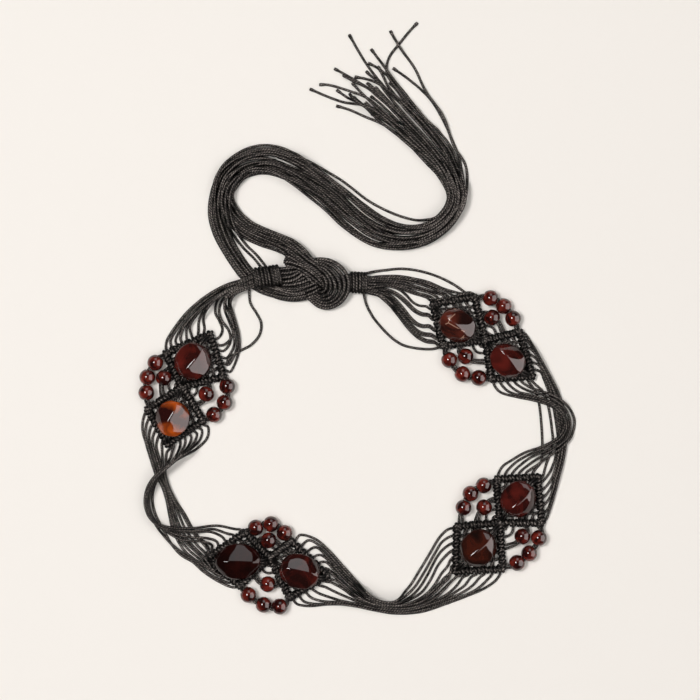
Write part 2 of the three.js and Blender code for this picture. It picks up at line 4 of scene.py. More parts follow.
import bpy
import numpy as np
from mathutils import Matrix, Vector


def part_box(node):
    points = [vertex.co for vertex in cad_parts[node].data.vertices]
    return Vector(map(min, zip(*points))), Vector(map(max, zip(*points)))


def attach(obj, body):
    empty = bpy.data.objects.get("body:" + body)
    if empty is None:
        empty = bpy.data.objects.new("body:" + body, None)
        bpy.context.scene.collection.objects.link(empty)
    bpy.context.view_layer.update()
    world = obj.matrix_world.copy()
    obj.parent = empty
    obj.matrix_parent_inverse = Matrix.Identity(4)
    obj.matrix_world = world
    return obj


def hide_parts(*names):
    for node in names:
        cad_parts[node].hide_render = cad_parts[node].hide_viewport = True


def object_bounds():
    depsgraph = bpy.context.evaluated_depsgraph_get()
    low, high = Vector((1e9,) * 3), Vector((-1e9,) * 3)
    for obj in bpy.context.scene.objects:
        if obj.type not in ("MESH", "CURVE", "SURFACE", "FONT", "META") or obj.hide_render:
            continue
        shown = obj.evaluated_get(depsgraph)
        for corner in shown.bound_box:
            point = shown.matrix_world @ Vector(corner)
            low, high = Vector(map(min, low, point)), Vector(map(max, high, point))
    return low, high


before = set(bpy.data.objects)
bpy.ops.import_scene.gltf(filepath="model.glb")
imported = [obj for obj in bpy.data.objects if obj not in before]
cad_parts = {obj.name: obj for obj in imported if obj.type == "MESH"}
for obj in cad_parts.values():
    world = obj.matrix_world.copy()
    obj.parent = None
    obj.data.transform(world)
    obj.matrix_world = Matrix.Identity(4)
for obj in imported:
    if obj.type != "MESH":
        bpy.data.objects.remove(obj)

# The belt lies on a table and is seen from straight above, so every place in the
# photograph is a place on the table. The middles of two small beads tie the two together.
cad_low, cad_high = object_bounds()
bpy.ops.object.select_all(action="DESELECT")
PHOTO_SIZE = 700
LEFT_BEAD = (148.0, 377.1)
RIGHT_BEAD = (528.7, 552.6)
LENS = 135
SENSOR = 36


def middle_of(node):
    low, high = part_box(node)
    return (Vector(low) + Vector(high)) / 2


left_middle = middle_of("small_bead_left_out_2")
right_middle = middle_of("small_bead_lower_right_out_2")
pixel = (right_middle.x - left_middle.x) / (RIGHT_BEAD[0] - LEFT_BEAD[0])


def on_table(x, y, z=0.0):
    """The place in metres, z above the table, of a place in the photograph."""
    right, down = (x - LEFT_BEAD[0]) * pixel, (y - LEFT_BEAD[1]) * pixel
    return Vector((left_middle.x + right, left_middle.y - down, z))


camera_data = bpy.data.cameras.new("camera_above")
camera_data.lens = LENS
camera_data.sensor_width = SENSOR
camera = bpy.data.objects.new("camera_above", camera_data)
bpy.context.scene.collection.objects.link(camera)
camera.location = on_table(PHOTO_SIZE / 2, PHOTO_SIZE / 2, PHOTO_SIZE * pixel * LENS / SENSOR)
bpy.context.scene.camera = camera

# Three single cords hang slack beside the leads, each from a whipping back into the edge
# of an end motif. They are the same waxed twisted cord as all the rest of the belt.
CORD = 0.0016
CORD_SIDES = 8
CORD_STEP = 0.0012
MAP_START = 10
LOOSE_CORDS = {
    "left_loose_cord": [
        (249.8, 284, 2.4), (249.4, 292, 1.6), (250.4, 303, 1), (257, 314, 1), (261.2, 323, 1),
            (259.5, 335, 1), (251, 345, 1),
        (240, 351, 1), (231, 357, 1.2), (226, 364, 1.8)],
    "upper_loose_cord": [
        (366.5, 273.4, 4), (374, 271.8, 2), (384, 270.4, 1), (402, 268.9, 1), (421, 271.4, 1),
            (439.4, 277.4, 1),
        (454, 284.8, 1), (465, 292.4, 1.2), (471, 296, 1.8)],
    "lower_loose_cord": [
        (363.4, 292.6, 3.4), (366.2, 304, 1.4), (371.6, 315, 1), (380.7, 326.8, 1), (391.7, 337.8, 1),
        (402.7, 345, 1), (417.4, 348.4, 1), (432, 349, 1.2), (441, 347, 1.8)],
}


def cord_route(points, step=CORD_STEP):
    """Evenly spaced points along the smooth curve through a cord's chosen places."""
    knots = np.array([tuple(p) for p in points], float)
    ends = [2 * knots[0] - knots[1], *knots, 2 * knots[-1] - knots[-2]]
    smooth = []
    for a, b, c, d in zip(ends, ends[1:], ends[2:], ends[3:]):
        share = np.linspace(0, 1, 24, endpoint=False)[:, None]
        spans = [max(np.linalg.norm(q - p), 1e-7) ** 0.5 for p, q in ((a, b), (b, c), (c, d))]
        leave = ((b - a) / spans[0] - (c - a) / (spans[0] + spans[1]) + (c - b) / spans[1]) * spans[1]
        reach = ((c - b) / spans[1] - (d - b) / (spans[1] + spans[2]) + (d - c) / spans[2]) * spans[1]
        smooth.append(b + leave * share + (3 * (c - b) - 2 * leave - reach) * share ** 2
                      + (2 * (b - c) + leave + reach) * share ** 3)
    curve = np.vstack([*smooth, knots[-1:]])
    length = np.concatenate([[0], np.cumsum(np.linalg.norm(np.diff(curve, axis=0), axis=1))])
    even = np.linspace(0, length[-1], max(int(length[-1] / step), 3) + 1)
    return np.stack([np.interp(even, length, curve[:, axis]) for axis in range(3)], axis=1)


def cord_piece(name, cords, sides=CORD_SIDES):
    """One piece of closed cords. Each cord has its route, its thickness and the way its map starts."""
    places, faces, maps, tones, crowns = [], [], [], [], []
    chance = random.Random(name)
    for route, thickness, start_side in cords:
        tone, lead_in = chance.random(), chance.random() * MAP_START
        along = np.gradient(route, axis=0)
        along /= np.linalg.norm(along, axis=1, keepdims=True)
        side = np.cross(np.broadcast_to(start_side, route.shape), along)
        side /= np.linalg.norm(side, axis=1, keepdims=True)
        up = np.cross(along, side)
        turn = np.arange(sides) * 2 * math.pi / sides
        reach = np.broadcast_to(np.asarray(thickness, float) / 2, len(route))[:, None, None]
        outward = np.cos(turn)[None, :, None] * side[:, None] + np.sin(turn)[None, :, None] * up[:, None]
        rings = route[:, None] + reach * outward
        spans = np.linalg.norm(np.diff(route, axis=0), axis=1)
        run = np.concatenate([[0], np.cumsum(spans)]) / CORD + lead_in
        first = len(places)
        places.extend(rings.reshape(-1, 3).tolist())
        tones.extend([tone] * (len(route) * sides))
        # The crown attribute is how far each point faces up; the cord material paints light and shade
        # from it.
        crowns.extend(outward[:, :, 2].ravel().tolist())
        for ring in range(len(route) - 1):
            for spoke in range(sides):
                beside = (spoke + 1) % sides
                low, high = first + ring * sides, first + (ring + 1) * sides
                faces.append((low + spoke, low + beside, high + beside, high + spoke))
                left, right = spoke / sides, (spoke + 1) / sides
                maps.extend([(left, run[ring]), (right, run[ring]), (right, run[ring + 1]),
                    (left, run[ring + 1])])
        last = first + (len(route) - 1) * sides
        faces.append(tuple(first + spoke for spoke in reversed(range(sides))))
        faces.append(tuple(last + spoke for spoke in range(sides)))
        maps.extend([(0.5, run[0])] * sides + [(0.5, run[-1])] * sides)
    mesh = bpy.data.meshes.new(name)
    mesh.from_pydata(places, [], faces)
    mesh.uv_layers.new(name="UVMap").data.foreach_set("uv", np.array(maps, float).ravel())
    mesh.attributes.new("tone", "FLOAT", "POINT").data.foreach_set("value", tones)
    mesh.attributes.new("crown", "FLOAT", "POINT").data.foreach_set("value", crowns)
    mesh.shade_smooth()
    piece = bpy.data.objects.new(name, mesh)
    bpy.context.scene.collection.objects.link(piece)
    piece.data.materials.append(waxed_cord)
    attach(piece, "root")
    return piece


def new_material(name):
    material = bpy.data.materials.new(name)
    material.use_nodes = True
    nodes = material.node_tree.nodes
    return material, nodes, material.node_tree.links, nodes["Principled BSDF"]


def sum_of(nodes, links, operation, first, second=None):
    """A maths node on one or two values, each a number or another node's output."""
    node = nodes.new("ShaderNodeMath")
    node.operation = operation
    for socket, value in zip(node.inputs, (first, second)):
        if isinstance(value, (int, float)):
            socket.default_value = value
        elif value is not None:
            links.new(value, socket)
    return node.outputs[0]


# Three plies twist round the cord. Pale flecks along the ply ridges, where a cord faces up, are painted
# highlights, and the sides of every cord get painted shade; each cord also has its own random tone.
waxed_cord, nodes, links, shader = new_material("waxed_cord")
cord_map = nodes.new("ShaderNodeUVMap")
cord_map.uv_map = "UVMap"
split = nodes.new("ShaderNodeSeparateXYZ")
links.new(cord_map.outputs["UV"], split.inputs[0])
PLIES_ROUND = 3.0
PLIES_ALONG = 0.95
plies = sum_of(nodes, links, "ADD", sum_of(nodes, links, "MULTIPLY", split.outputs["X"], PLIES_ROUND),
               sum_of(nodes, links, "MULTIPLY", split.outputs["Y"], PLIES_ALONG))
ply_wave = sum_of(nodes, links, "SINE", sum_of(nodes, links, "MULTIPLY", plies, math.pi))
ridge = sum_of(nodes, links, "ABSOLUTE", ply_wave)
table_place = nodes.new("ShaderNodeTexCoord")
fibre_and_highlight_noise = nodes.new("ShaderNodeTexNoise")
fibre_and_highlight_noise.inputs["Scale"].default_value = 1000
fibre_and_highlight_noise.inputs["Detail"].default_value = 3
links.new(table_place.outputs["Object"], fibre_and_highlight_noise.inputs["Vector"])
# Painted highlight: this ramp runs from the cord's dark colour to the pale painted highlight colour.
painted_highlight_ramp = nodes.new("ShaderNodeValToRGB")
painted_highlight_ramp.color_ramp.elements[0].position = 0.3
painted_highlight_ramp.color_ramp.elements[0].color = (0.011, 0.0095, 0.0088, 1)
painted_highlight_ramp.color_ramp.elements[1].position = 0.78
painted_highlight_ramp.color_ramp.elements[1].color = (0.42, 0.36, 0.32, 1)
# How far each point faces up: the crown is painted lit and the sides get painted shade.
crown = nodes.new("ShaderNodeAttribute")
crown.attribute_name = "crown"
lit_crown = nodes.new("ShaderNodeMapRange")
lit_crown.interpolation_type = "SMOOTHSTEP"
lit_crown.inputs["From Min"].default_value = 0.3
lit_crown.inputs["From Max"].default_value = 1.0
links.new(crown.outputs["Fac"], lit_crown.inputs["Value"])
# The ply ridges, thinned by noise and kept to the lit crown, mask the painted highlights.
softened = sum_of(nodes, links, "ADD", sum_of(nodes, links, "MULTIPLY", ridge, 0.6), 0.4)
ridge_highlight = sum_of(nodes, links, "MULTIPLY", softened, fibre_and_highlight_noise.outputs["Fac"])
painted_highlight_mask = sum_of(nodes, links, "MULTIPLY", ridge_highlight, lit_crown.outputs["Result"])
links.new(painted_highlight_mask, painted_highlight_ramp.inputs["Fac"])
tone = nodes.new("ShaderNodeAttribute")
tone.attribute_name = "tone"
shade = nodes.new("ShaderNodeMix")
shade.data_type = "RGBA"
shade.blend_type = "MULTIPLY"
shade.inputs["Factor"].default_value = 1
TONE_LEAST, TONE_RANGE = 0.7, 0.55
SIDE_SHADE = 0.08
own_tone = sum_of(nodes, links, "MULTIPLY", tone.outputs["Fac"], TONE_RANGE)
brightness = sum_of(nodes, links, "ADD", own_tone, TONE_LEAST)
# Painted shade: the sides keep only SIDE_SHADE of the colour, the crown keeps all of it.
crown_share = sum_of(nodes, links, "MULTIPLY", lit_crown.outputs["Result"], 1 - SIDE_SHADE)
crown_shade = sum_of(nodes, links, "ADD", crown_share, SIDE_SHADE)
darker = sum_of(nodes, links, "MULTIPLY", brightness, crown_shade)
links.new(painted_highlight_ramp.outputs["Color"], shade.inputs["A"])
links.new(darker, shade.inputs["B"])
links.new(shade.outputs["Result"], shader.inputs["Base Color"])
shader.inputs["Roughness"].default_value = 0.42
shader.inputs["Specular IOR Level"].default_value = 0.12
ply_bump = nodes.new("ShaderNodeBump")
ply_bump.inputs["Strength"].default_value = 0.9
ply_bump.inputs["Distance"].default_value = 0.0002
links.new(ridge, ply_bump.inputs["Height"])
fibre_bump = nodes.new("ShaderNodeBump")
fibre_bump.inputs["Strength"].default_value = 0.35
fibre_bump.inputs["Distance"].default_value = 0.0001
links.new(fibre_and_highlight_noise.outputs["Fac"], fibre_bump.inputs["Height"])
links.new(ply_bump.outputs["Normal"], fibre_bump.inputs["Normal"])
links.new(fibre_bump.outputs["Normal"], shader.inputs["Normal"])

UPWARD = (0, 0, 1)
MM = 0.001
for name, places in LOOSE_CORDS.items():
    route = cord_route([on_table(x, y, z * MM) for x, y, z in places])
    loose = cord_piece(name + "_twisted", [(route, CORD, UPWARD)])
    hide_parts(name)

# Rows of double half hitches edge the diamonds. Each working cord is wound twice round a
# straight cord that runs inside the row, so every row is a string of paired small wraps.
MOTIFS = {
    "left": {
        "crossing": (182.5, 386.8),
        "near": {"tip": (210, 334), "in": (224, 376.6), "out": (165.6, 353.5)},
        "far": {"tip": (168, 444), "in": (203.5, 420.5), "out": (147.8, 409)}},
    "lower_left": {
        "crossing": (270, 557.5),
        "near": {"tip": (207, 558), "in": (245.5, 531.6), "out": (240, 585.5)},
        "far": {"tip": (327, 575), "in": (291.5, 540.5), "out": (289.5, 597.5)}},
    "lower_right": {
        "crossing": (499.5, 522.5),
        "near": {"tip": (455.2, 571), "in": (456.8, 525.9), "out": (502.3, 568.7)},
        "far": {"tip": (537.4, 476.8), "in": (496, 479), "out": (541.5, 522.8)}},
    "right": {
        "crossing": (485.4, 340.1),
        "near": {"tip": (532.1, 376), "in": (490.8, 379.1), "out": (519.1, 331.7)},
        "far": {"tip": (432.7, 304.5), "in": (442.6, 346.2), "out": (474, 296.5)}},
}
KNOTS = 6
ROW_LIFT = 0.0027
WRAP_REACH = 0.0015
WRAP_CORD = 0.0021
ROW_CORE = 0.0023
TURN_STEPS = 13
ROW_WIDENING = 1.08
WRAP_DROP = 0.0001


def place_on_row(motif, diamond, start, side, count, z=ROW_LIFT):
    """The middle of a knot on a row, counted from the tip or from the crossing."""
    corners = MOTIFS[motif][diamond]
    first = corners["tip"] if start == "tip" else MOTIFS[motif]["crossing"]
    first, last = on_table(*first, z), on_table(*corners[side], z)
    return first.lerp(last, (count - 0.3) / KNOTS)


def knotted_row(first, last, chance):
    """The wound cord and the core of one row from its first to its last knot."""
    axis = (last - first).normalized()
    across = Vector((-axis.y, axis.x, 0))
    length = (last - first).length + CORD
    start = first - axis * CORD / 2
    turns = 2 * KNOTS + 0.5
    steps = int(turns * TURN_STEPS)
    uneven = [chance.uniform(0.93, 1.1) for _ in range(int(turns) + 2)]
    wound = []
    for step in range(steps + 1):
        turn = step / TURN_STEPS
        share = turn / turns - 0.09 * math.sin(math.pi * turn) / turns
        swell = uneven[int(turn)] + (uneven[int(turn) + 1] - uneven[int(turn)]) * (turn % 1)
        angle = 2 * math.pi * turn
        wound.append(start + axis * (length * share)
                     + across * (math.cos(angle) * WRAP_REACH * ROW_WIDENING * swell)
                     + Vector((0, 0, math.sin(angle) * (WRAP_REACH - WRAP_DROP) * swell)))
    core = [start + axis * (length * share) for share in np.linspace(0, 1, 6)]
    return [(np.array(wound), WRAP_CORD, tuple(axis)), (np.array(core), ROW_CORE, UPWARD)]


for motif, corners in MOTIFS.items():
    chance = random.Random(motif)
    cords = []
    for diamond in ("near", "far"):
        for side in ("in", "out"):
            ends = [on_table(*point, ROW_LIFT) for point in
                    (corners[diamond]["tip"], corners[diamond][side], corners["crossing"])]
            cords += knotted_row(ends[0], ends[1], chance)
            cords += knotted_row(ends[2], ends[1], chance)
    knots = cord_piece(f"knotted_rows_{motif}", cords, 7)
    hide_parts(f"knotted_frame_{motif}")

# Inside a diamond the cords run straight from row to row below the nugget, and a pair of
# them turns back at each side corner. Beside the crossing they make open arcs.
FLOOR_CORD = CORD / 2 + 0.0001
CROSSED_LIFT = 0.0009
INNER_END = 0.0016


def bowed(first, last, bow, z, swing=0.0):
    """A cord between two rows that bows sideways by a share of its span."""
    span = last - first
    side = Vector((-span.y, span.x, 0)) * bow
    low = Vector((0, 0, z))
    quarter = [first.lerp(last, share) for share in (0.22, 0.5, 0.78)]
    leans = (0.72 + swing, 1, 0.72 - swing)
    middle = [point.xy.to_3d() + low + side * lean for point, lean in zip(quarter, leans)]
    return cord_route([first, *middle, last])


for motif, corners in MOTIFS.items():
    chance = random.Random(motif + "behind")
    cords = []
    for diamond in ("near", "far"):
        for side, other, layer in (("in", "out", 0), ("out", "in", 1)):
            for count in (1, 2, 3, 4, 5):
                low = FLOOR_CORD + layer * CROSSED_LIFT
                cords.append(bowed(
                    place_on_row(motif, diamond, "tip", side, count, INNER_END),
                    place_on_row(motif, diamond, "crossing", other,
                                 KNOTS - count + chance.uniform(-0.1, 0.1), INNER_END),
                    chance.uniform(-0.02, 0.02), low))
            tip, corner = on_table(*corners[diamond]["tip"]), on_table(*corners[diamond][side])
            span = on_table(*corners["crossing"]) - tip
            turn_sign = 1 if (span.x * (corner - tip).y - span.y * (corner - tip).x) > 0 else -1
            for count, bow in ((5.9, 0.5), (5.1, 0.42), (4.3, 0.34), (3.6, 0.27)):
                cords.append(bowed(
                    place_on_row(motif, diamond, "tip", side, count - 0.25, 0.002),
                    place_on_row(motif, diamond, "crossing", side, count - 0.25, 0.002),
                    -turn_sign * bow * 0.6, 0.0022))
    for side in ("in", "out"):
        near, far = (place_on_row(motif, half, "crossing", side, 3) for half in ("near", "far"))
        crossing = on_table(*corners["crossing"])
        outward = ((near + far) / 2 - crossing)
        span = far - near
        turn_sign = 1 if (span.x * outward.y - span.y * outward.x) > 0 else -1
        for count, bow in ((1.2, 0.4), (2.1, 0.34)):
            cords.append(bowed(
                place_on_row(motif, "near", "crossing", side, count, 0.002),
                place_on_row(motif, "far", "crossing", side, count, 0.002),
                turn_sign * bow, 0.0018))
    behind = cord_piece(f"inner_cords_{motif}", [(route, CORD, UPWARD) for route in cords])
    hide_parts(f"knotted_frame_{motif}")

# Small round beads of dark red agate hang on two cords side by side: three on the outer
# arc and one on the inner arc of each side of a crossing.
BEAD = 0.0100
BEAD_LENGTH = 0.0086
BEAD_GAP = 0.0001
BEAD_CORD_END = 0.0022
NEIGHBOUR_SPAN = 0.0096
BEAD_BORE = 0.0036
PAIR = 0.00085


def agate(name, dark, light, scale, bright_from, end_glow_share=0.0, vein_share=0.0, sheen=0.5, dark_to=0.4):
    """Polished agate: dark and light cloud colour; on some the ends painted brighter, a painted glow of
    light through the stone; on some a net of pale cracks.
    """
    material, nodes, links, shader = new_material(name)
    place = nodes.new("ShaderNodeTexCoord")
    cloud = nodes.new("ShaderNodeTexNoise")
    cloud.inputs["Scale"].default_value = scale
    cloud.inputs["Detail"].default_value = 3
    cloud.inputs["Distortion"].default_value = 0.8
    links.new(place.outputs["Object"], cloud.inputs["Vector"])
    ends = nodes.new("ShaderNodeAttribute")
    ends.attribute_name = "ends"
    all_over = sum_of(nodes, links, "MULTIPLY", cloud.outputs["Fac"], 1 - end_glow_share / 2)
    # Painted glow: the ends of a stone are painted brighter, standing in for light through the stone.
    painted_end_glow = sum_of(nodes, links, "MULTIPLY", ends.outputs["Fac"], end_glow_share / 2)
    cloud_and_glow = sum_of(nodes, links, "ADD", all_over, painted_end_glow)
    ramp = nodes.new("ShaderNodeValToRGB")
    ramp.color_ramp.elements[0].position = dark_to
    ramp.color_ramp.elements[0].color = (*dark, 1)
    ramp.color_ramp.elements[1].position = bright_from
    ramp.color_ramp.elements[1].color = (*light, 1)
    links.new(cloud_and_glow, ramp.inputs["Fac"])
    color = ramp.outputs["Color"]
    if vein_share:
        cracks = nodes.new("ShaderNodeTexVoronoi")
        cracks.feature = "DISTANCE_TO_EDGE"
        cracks.inputs["Scale"].default_value = scale * 1.25
        links.new(place.outputs["Object"], cracks.inputs["Vector"])
        thin = nodes.new("ShaderNodeMapRange")
        thin.inputs["From Max"].default_value = 0.035
        thin.inputs["To Min"].default_value = vein_share
        thin.inputs["To Max"].default_value = 0.0
        links.new(cracks.outputs["Distance"], thin.inputs["Value"])
        patch = sum_of(nodes, links, "MULTIPLY", thin.outputs["Result"],
                       sum_of(nodes, links, "GREATER_THAN", cloud.outputs["Fac"], 0.54))
        veined = nodes.new("ShaderNodeMix")
        veined.data_type = "RGBA"
        veined.inputs["B"].default_value = (0.55, 0.33, 0.24, 1)
        links.new(patch, veined.inputs["Factor"])
        links.new(color, veined.inputs["A"])
        color = veined.outputs["Result"]
    links.new(color, shader.inputs["Base Color"])
    shader.inputs["Roughness"].default_value = 0.04
    shader.inputs["IOR"].default_value = 1.56
    shader.inputs["Specular IOR Level"].default_value = sheen
    return material


# These shares feed the painted glow at a stone's ends in the agate material.
def note_ends(piece, centre, axis, reach):
    """Writes on every point of a stone how far along its bore it lies from the middle."""
    shares = [min(1, abs((vertex.co - centre).xy.dot(axis)) / reach) for vertex in piece.data.vertices]
    piece.data.attributes.new("ends", "FLOAT", "POINT").data.foreach_set("value", shares)


small_agate = agate("red_agate", (0.017, 0.0025, 0.002), (0.185, 0.02, 0.012), 170, 0.72)


def seat_piece(piece, centre, axis):
    """Turns a bead that was made along Y to its cord, sets it in place and applies both."""
    piece.rotation_euler = (0, 0, math.atan2(axis.y, axis.x) - math.pi / 2)
    piece.location = centre
    bpy.ops.object.select_all(action="DESELECT")
    piece.select_set(True)
    bpy.context.view_layer.objects.active = piece
    bpy.ops.object.transform_apply(location=True, rotation=True, scale=True)


def drilled_bead():
    """A round bead with its poles cut off and the two rims joined by the wall of the bore."""
    bpy.ops.mesh.primitive_uv_sphere_add(segments=28, ring_count=18, radius=BEAD / 2)
    bead = bpy.context.object
    bpy.ops.object.mode_set(mode="EDIT")
    bpy.ops.mesh.select_all(action="SELECT")
    for sign in (1, -1):
        bpy.ops.mesh.select_all(action="SELECT")
        bpy.ops.mesh.bisect(plane_co=(0, 0, sign * (BEAD_LENGTH / 2 + BEAD_GAP)), plane_no=(0, 0, sign),
                            clear_outer=True)
    bpy.ops.mesh.select_all(action="DESELECT")
    bpy.ops.mesh.select_non_manifold(extend=False)
    rim = math.sqrt((BEAD / 2) ** 2 - (BEAD_LENGTH / 2) ** 2)
    bpy.ops.mesh.extrude_region_move(MESH_OT_extrude_region={"use_normal_flip": False})
    bpy.ops.transform.resize(value=(BEAD_BORE / 2 / rim, BEAD_BORE / 2 / rim, 1.01))
    bpy.ops.mesh.bridge_edge_loops()
    bpy.ops.mesh.select_all(action="SELECT")
    bpy.ops.mesh.remove_doubles(threshold=1e-6)
    bpy.ops.mesh.normals_make_consistent(inside=False)
    bpy.ops.transform.rotate(value=math.pi / 2, orient_axis="X", center_override=(0, 0, 0))
    bpy.ops.object.mode_set(mode="OBJECT")
    bpy.ops.object.shade_smooth_by_angle(angle=math.radians(50))
    return bead


def copy_of(source, name):
    copied = source.copy()
    copied.data = source.data.copy()
    copied.name = name
    bpy.context.scene.collection.objects.link(copied)
    return copied


def kept_apart(bead, other, least):
    """The middle of a bead, moved straight away from another one until both have room."""
    apart = bead - other
    return other + apart * max(1, least / apart.length)


pattern = drilled_bead()
for motif, corners in MOTIFS.items():
    pairs = []
    for side in ("in", "out"):
        middles = [middle_of(f"small_bead_{motif}_{side}_{number}") for number in (1, 2, 3, 4)]
        for middle in middles:
            middle.z = BEAD / 2
        middles[0] = kept_apart(middles[0], middles[1], NEIGHBOUR_SPAN)
        middles[2] = kept_apart(middles[2], middles[1], NEIGHBOUR_SPAN)
        nearest = min(middles[:3], key=lambda middle: (middle - middles[3]).length)
        middles[3] = kept_apart(middles[3], nearest, BEAD + BEAD_GAP)
        for numbers, counts, reach in (((1, 2, 3), (5.4, 6.1), 0.5), ((4,), (3.3, 3.9), 0.56)):
            beads = [middles[number - 1] for number in numbers]
            near = place_on_row(motif, "near", "crossing", side, counts[1], BEAD_CORD_END)
            far = place_on_row(motif, "far", "crossing", side, counts[1], BEAD_CORD_END)
            stops = [near, *beads, far]
            axes = [(stops[i + 2] - stops[i]).xy.normalized() for i in range(len(beads))]
            for number, centre, axis in zip(numbers, beads, axes):
                bead = copy_of(pattern, f"round_bead_{motif}_{side}_{number}")
                seat_piece(bead, centre, axis)
                bead.data.materials.append(small_agate)
                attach(bead, "root")
                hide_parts(f"small_bead_{motif}_{side}_{number}")
            for count, shift in zip(counts, (-PAIR, PAIR)):
                outward = (beads[len(beads) // 2] - on_table(*corners["crossing"])).xy.normalized()
                through = []
                for centre, axis in zip(beads, axes):
                    sideways = Vector((-axis.y, axis.x))
                    sideways *= shift if sideways.dot(outward) > 0 else -shift
                    for end in (-1, 0, 1):
                        spot = centre.xy + sideways + axis * (end * BEAD_LENGTH * reach)
                        through.append(Vector((spot.x, spot.y, centre.z)))
                leave, reach_row = (place_on_row(motif, diamond, "crossing", side, count, BEAD_CORD_END)
                                    for diamond in ("near", "far"))
                pairs.append(cord_route([leave, *through, reach_row]))
    threads = cord_piece(f"bead_cords_{motif}", [(route, CORD, UPWARD) for route in pairs])
    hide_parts(f"knotted_frame_{motif}")
bpy.data.objects.remove(pattern)

# The large nuggets are agate ground with four rounded ridges that twist about the bore.
# Each is threaded on a pair of cords from the tip of its diamond to the crossing.
NUGGETS = {
    "left_near": (1.02, 1.0, -4, 34),
    "left_far": (0.97, 0.97, -8, 40),
    "lower_left_near": (1.25, 1.02, 0, 6),
    "lower_left_far": (1.1, 0.98, 4, -14),
    "lower_right_near": (1.04, 1.0, 3, 18),
    "lower_right_far": (1.0, 0.98, -10, 20),
    "right_near": (1.0, 0.9, 6, 44),
    "right_far": (1.03, 0.9, 5, 30),
}
NUGGET_SIZE = 0.0225
NUGGET_THICK = 0.0134
NUGGET_RIM = 0.0027
SQUARENESS = 0.78
RIDGE_CREASE = 0.75
deep_agate = agate("deep_agate", (0.007, 0.0016, 0.0012), (0.035, 0.0045, 0.003), 60, 0.9, sheen=0.3)
dark_agate = agate("dark_agate", (0.015, 0.003, 0.0024), (0.115, 0.0125, 0.0085), 75, 0.75)
brown_agate = agate("brown_agate", (0.009, 0.0032, 0.0022), (0.06, 0.0105, 0.005), 75, 0.75)
# The fire agate's bright orange ends are a painted glow of light through the stone.
fire_agate = agate("fire_agate", (0.022, 0.0035, 0.003),
    (0.55, 0.09, 0.008), 80, 0.74, 0.62, dark_to=0.45)
veined_agate = agate("veined_agate", (0.014, 0.0045, 0.0036), (0.1, 0.019, 0.011), 80, 0.72, 0.0, 0.8)
NUGGET_STONES = {
    "lower_right_near": brown_agate, "left_far": fire_agate,
    "right_far": veined_agate, "lower_left_near": deep_agate}
NUGGET_STEPS = 12
NUGGET_CORD_END = 0.0025


def drawn_nugget(length, width, roll, twist, fullness):
    """An open ring drawn out along the bore step by step, wider, narrower and turning."""
    bpy.ops.mesh.primitive_circle_add(vertices=16, radius=NUGGET_RIM, location=(0, 0, 0))
    stone = bpy.context.object
    bpy.ops.object.mode_set(mode="EDIT")
    bpy.ops.mesh.select_all(action="SELECT")
    bpy.ops.transform.rotate(value=-math.radians(roll - twist / 2), orient_axis="Z",
                             center_override=(0, 0, 0))
    bpy.ops.transform.translate(value=(0, 0, -length / 2))
    before = NUGGET_RIM
    for step in range(1, NUGGET_STEPS + 1):
        share = -math.cos(math.pi * step / NUGGET_STEPS)
        last = -math.cos(math.pi * (step - 1) / NUGGET_STEPS)
        reach = NUGGET_RIM + (width / 2 - NUGGET_RIM) * (1 - abs(share) ** 2.2) ** fullness
        drawn = (0, 0, (share - last) * length / 2)
        bpy.ops.mesh.extrude_region_move(TRANSFORM_OT_translate={"value": drawn})
        bpy.ops.transform.resize(value=(reach / before, reach / before, 1),
                                 center_override=(0, 0, share * length / 2))
        bpy.ops.transform.rotate(value=-math.radians(twist) * (share - last) / 2, orient_axis="Z",
                                 center_override=(0, 0, 0))
        before = reach
    bpy.ops.object.mode_set(mode="OBJECT")
    return stone


def ridge_nugget(stone, length, width, roll, twist):
    """Grinds four flats between creased ridges, flattens the stone and closes it round its bore."""
    mesh = stone.data
    turns = [math.atan2(vertex.co.y, vertex.co.x) - math.radians(roll + twist * vertex.co.z / length)
             for vertex in mesh.vertices]
    creases = mesh.attributes.new("crease_edge", "FLOAT", "EDGE")
    for edge in mesh.edges:
        on_ridge = [abs(math.sin(2 * turns[vertex])) < 0.05 for vertex in edge.vertices]
        low, high = (mesh.vertices[vertex].co.z for vertex in edge.vertices)
        if all(on_ridge) and abs(low - high) > 1e-6:
            creases.data[edge.index].value = RIDGE_CREASE
    for vertex, turn in zip(mesh.vertices, turns):
        reach = vertex.co.xy.length
        fullness = max(0, min(1, (reach - NUGGET_RIM) / (width / 2 - NUGGET_RIM)))
        square = 1 / (abs(math.cos(turn)) + abs(math.sin(turn)))
        pull = 1 - SQUARENESS * (1 - square) * fullness ** 0.5
        vertex.co.x *= pull
        vertex.co.y *= pull * (NUGGET_THICK / width * fullness + (1 - fullness))
    bpy.context.view_layer.objects.active = stone
    bpy.ops.object.mode_set(mode="EDIT")
    bpy.ops.mesh.select_all(action="DESELECT")
    bpy.ops.mesh.select_non_manifold(extend=False)
    bpy.ops.mesh.extrude_region_move()
    bpy.ops.transform.resize(value=(0.66, 0.66, 0.98), center_override=(0, 0, 0))
    bpy.ops.mesh.bridge_edge_loops()
    bpy.ops.mesh.select_all(action="SELECT")
    bpy.ops.mesh.remove_doubles(threshold=1e-6)
    bpy.ops.mesh.normals_make_consistent(inside=False)
    bpy.ops.transform.rotate(value=math.pi / 2, orient_axis="X", center_override=(0, 0, 0))
    bpy.ops.object.mode_set(mode="OBJECT")


